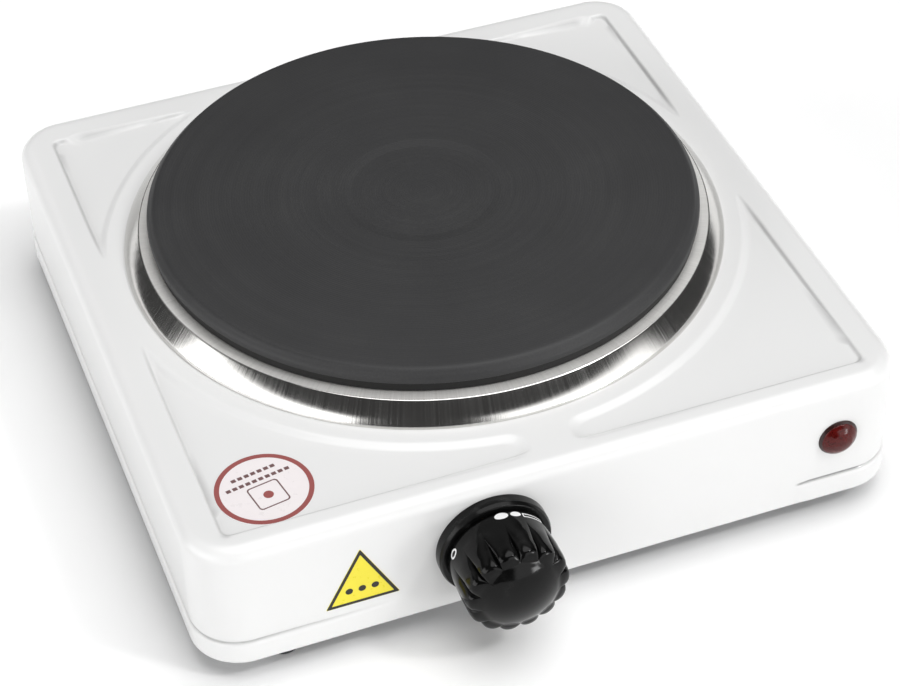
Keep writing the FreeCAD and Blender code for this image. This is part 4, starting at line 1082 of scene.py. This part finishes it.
def make_round_label():
    """Film with a printed red ring, plain dashes and a plain dot in a square."""
    centre = (label_low + label_high) / 2
    radius = (label_high.x - label_low.x) / 2
    floor_z = label_low.z
    film = prism("round_film", [ring_loop(radius)], floor_z, floor_z + FILM, LABEL_WHITE)
    film.location = (centre.x, centre.y, 0)
    add_piece(film, "housing", ["round_label"])
    low, high = floor_z + PRINT[0], floor_z + PRINT[1]
    ring = band_mesh("label_ring", ring_loop(radius - 0.1 * MM), ring_loop(radius - 1.7 * MM),
                     low, high, LABEL_RED)
    turn = math.radians(LABEL_TURN)
    square = band_mesh("label_square", rounded_square(5.2 * MM, 1.2 * MM),
                       rounded_square(4.75 * MM, 0.9 * MM), low, high, LABEL_BROWN)
    shift = Vector((math.sin(turn), -math.cos(turn))) * 2.9 * MM
    ring.location = (centre.x, centre.y, 0)
    square.location = (centre.x + shift.x, centre.y + shift.y, 0)
    square.rotation_euler = (0, 0, turn)
    dot = prism("label_dot", [ring_loop(1.6 * MM, 48)], low, high, LABEL_RED)
    dashes = []
    for y, pieces in ((7.7, 7), (4.4, 10)):
        for index in range(pieces):
            x = (index + 0.5 - pieces / 2) * 2.2 * MM
            dashes.append(stroke([(x - 0.75 * MM, y * MM), (x + 0.75 * MM, y * MM)], 1.3 * MM))
    lines = prism("label_dashes", dashes, low, high, LABEL_BROWN)
    dot.location = square.location
    lines.location = ring.location
    lines.rotation_euler = (0, 0, turn)
    for thing in (ring, square, dot, lines):
        add_piece(thing, "housing")


def make_triangle_label():
    """Yellow film with a black edge and a row of three plain dots."""
    front = triangle_high.y
    half = (triangle_high.x - triangle_low.x) / 2
    tall = triangle_high.z - triangle_low.z
    centre_x = (triangle_low.x + triangle_high.x) / 2
    lean = math.atan2(tall, half)

    def triangle(inset, radius):
        """Outline this far inside the film's edge, with rounded corners."""
        x, y = half - inset / math.tan(lean / 2), inset
        corners = ((-x, y, lean / 2, lean / 2, math.pi / 2 + lean, 1.5 * math.pi),
                   (x, y, math.pi - lean / 2, lean / 2, 1.5 * math.pi, 2.5 * math.pi - lean),
                   (0, tall - inset / math.cos(lean), -math.pi / 2, math.pi / 2 - lean,
                    2.5 * math.pi - lean, 2.5 * math.pi + lean))
        loop = []
        for corner_x, corner_y, inward, half_angle, start, end in corners:
            reach = radius / math.sin(half_angle)
            for step in range(9):
                angle = start + (end - start) * step / 8
                loop.append((corner_x + reach * math.cos(inward) + radius * math.cos(angle),
                             corner_y + reach * math.sin(inward) + radius * math.sin(angle)))
        return loop

    film = prism("triangle_film", [triangle(0.0, 0.3 * MM)], 0.0, FILM, LABEL_YELLOW)
    edge = band_mesh("triangle_edge", triangle(0.08 * MM, 0.3 * MM),
                     triangle(1.15 * MM, 0.15 * MM), *PRINT, LABEL_BLACK)
    dots = [[(x + index * 4.2 * MM, y + 5.8 * MM) for x, y in ring_loop(1.2 * MM, 48)]
            for index in (-1, 0, 1)]
    mark = prism("triangle_dots", dots, *PRINT, LABEL_BLACK)
    for thing in (film, edge, mark):
        thing.location = (centre_x, front, triangle_low.z)
        thing.rotation_euler = (math.pi / 2, 0, 0)
    add_piece(film, "housing", ["triangle_label"])
    add_piece(edge, "housing")
    add_piece(mark, "housing")


# ---- stage, light and camera

def make_stage():
    """Wide pale floor."""
    s = Shader("floor")
    cloud = s.noise(3.0)
    colour = s.ramp(cloud, [(0.3, (0.985, 0.985, 0.985)), (0.7, (0.99, 0.99, 0.99))])
    material = s.done(colour, s.spread(cloud, 0.3, 0.7, 0.85, 0.95))
    half = 6.0
    floor = make_object("floor", [(-half, -half, 0), (half, -half, 0), (half, half, 0),
                                  (-half, half, 0)], [(0, 1, 2, 3)], material)


STUDIO_BASE = 0.05
STUDIO_PANELS = [
    # azimuth from the front towards +X, elevation, both as (low, high), soft edge, brightness
    ((-112, -46), (-8, 29), 5, 3.1),
    ((2, 66), (-8, 28), 5, 1.62),
    ((31, 44), (-3, 10), 4, 12.0),
    ((47, 55), (46, 52), 3, 60.0),
    ((115, 245), (30, 56), 10, 0.40),
]
CEILING = (60, 8, 2.58)        # lowest elevation, soft edge, brightness
CEILING_AXIS = (0.19, -0.08, 0.979)


def make_light():
    """Dim studio walls with a soft ceiling and soft upright panels."""
    world = bpy.data.worlds.new("studio")
    bpy.context.scene.world = world
    sky = Nodes(world)
    degrees = 180 / math.pi

    def rise(source, start, end):
        return sky.spread(source, start, end, kind="SMOOTHSTEP")

    place = sky.add("ShaderNodeTexCoord").outputs["Generated"]
    split = sky.add("ShaderNodeSeparateXYZ")
    sky.link(place, split.inputs[0])
    front = sky.math("MULTIPLY", split.outputs[1], -1.0)
    turn = sky.math("MULTIPLY", sky.math("ARCTAN2", split.outputs[0], front), degrees)
    height = sky.math("MULTIPLY", sky.math("ARCSINE", split.outputs[2]), degrees)
    low, soft, bright = CEILING
    lean = 0.0
    for index, share in enumerate(CEILING_AXIS):
        lean = sky.math("ADD", sky.math("MULTIPLY", split.outputs[index], share), lean)
    lean = sky.math("MULTIPLY", sky.math("ARCSINE", lean), degrees)
    total = sky.math("MULTIPLY", rise(lean, low - soft / 2, low + soft / 2), bright)
    total = sky.math("ADD", total, STUDIO_BASE)
    for (left, right), (bottom, top), soft, bright in STUDIO_PANELS:
        across = turn
        if right > 180:
            across = sky.math("FLOORED_MODULO", turn, 360.0)
        panel = sky.math("MULTIPLY", rise(across, left - soft, left + soft),
                         rise(across, right + soft, right - soft))
        panel = sky.math("MULTIPLY", panel, rise(height, bottom - soft, bottom + soft))
        panel = sky.math("MULTIPLY", panel, rise(height, top + soft, top - soft))
        total = sky.math("ADD", total, sky.math("MULTIPLY", panel, bright))
    glow = sky.add("ShaderNodeBackground")
    glow.inputs["Color"].default_value = (1.0, 1.0, 1.0, 1.0)
    sky.link(total, glow.inputs["Strength"])
    output = sky.add("ShaderNodeOutputWorld")
    sky.link(glow.outputs[0], output.inputs[0])


AIM = Vector((-0.0013, -0.0050, 0.0236))
AZIMUTH = -19.22
ELEVATION = 41.05
ROLL = -1.83
DISTANCE = 0.8736
LENS_MM = 103.19


def make_camera():
    data = bpy.data.cameras.new("camera")
    data.lens = LENS_MM
    data.sensor_width = 36.0
    camera = placed("camera", data)
    azimuth = math.radians(AZIMUTH)
    elevation = math.radians(ELEVATION)
    back = Vector((math.sin(azimuth) * math.cos(elevation),
                   -math.cos(azimuth) * math.cos(elevation), math.sin(elevation)))
    camera.location = AIM + back * DISTANCE
    look = (-back).to_track_quat("-Z", "Y").to_matrix()
    roll = math.radians(ROLL)
    right = look.col[0] * math.cos(roll) + look.col[1] * math.sin(roll)
    up = look.col[1] * math.cos(roll) - look.col[0] * math.sin(roll)
    turned_matrix = look.copy()
    turned_matrix.col[0] = right
    turned_matrix.col[1] = up
    camera.rotation_euler = turned_matrix.to_euler()
    bpy.context.scene.camera = camera


make_camera()
make_light()
make_stage()
make_housing()
make_plate()
make_ring()
make_bezel()
make_knob()
make_marks()
make_lamp()
make_round_label()
make_triangle_label()

bpy.context.scene.view_settings.view_transform = "Standard"
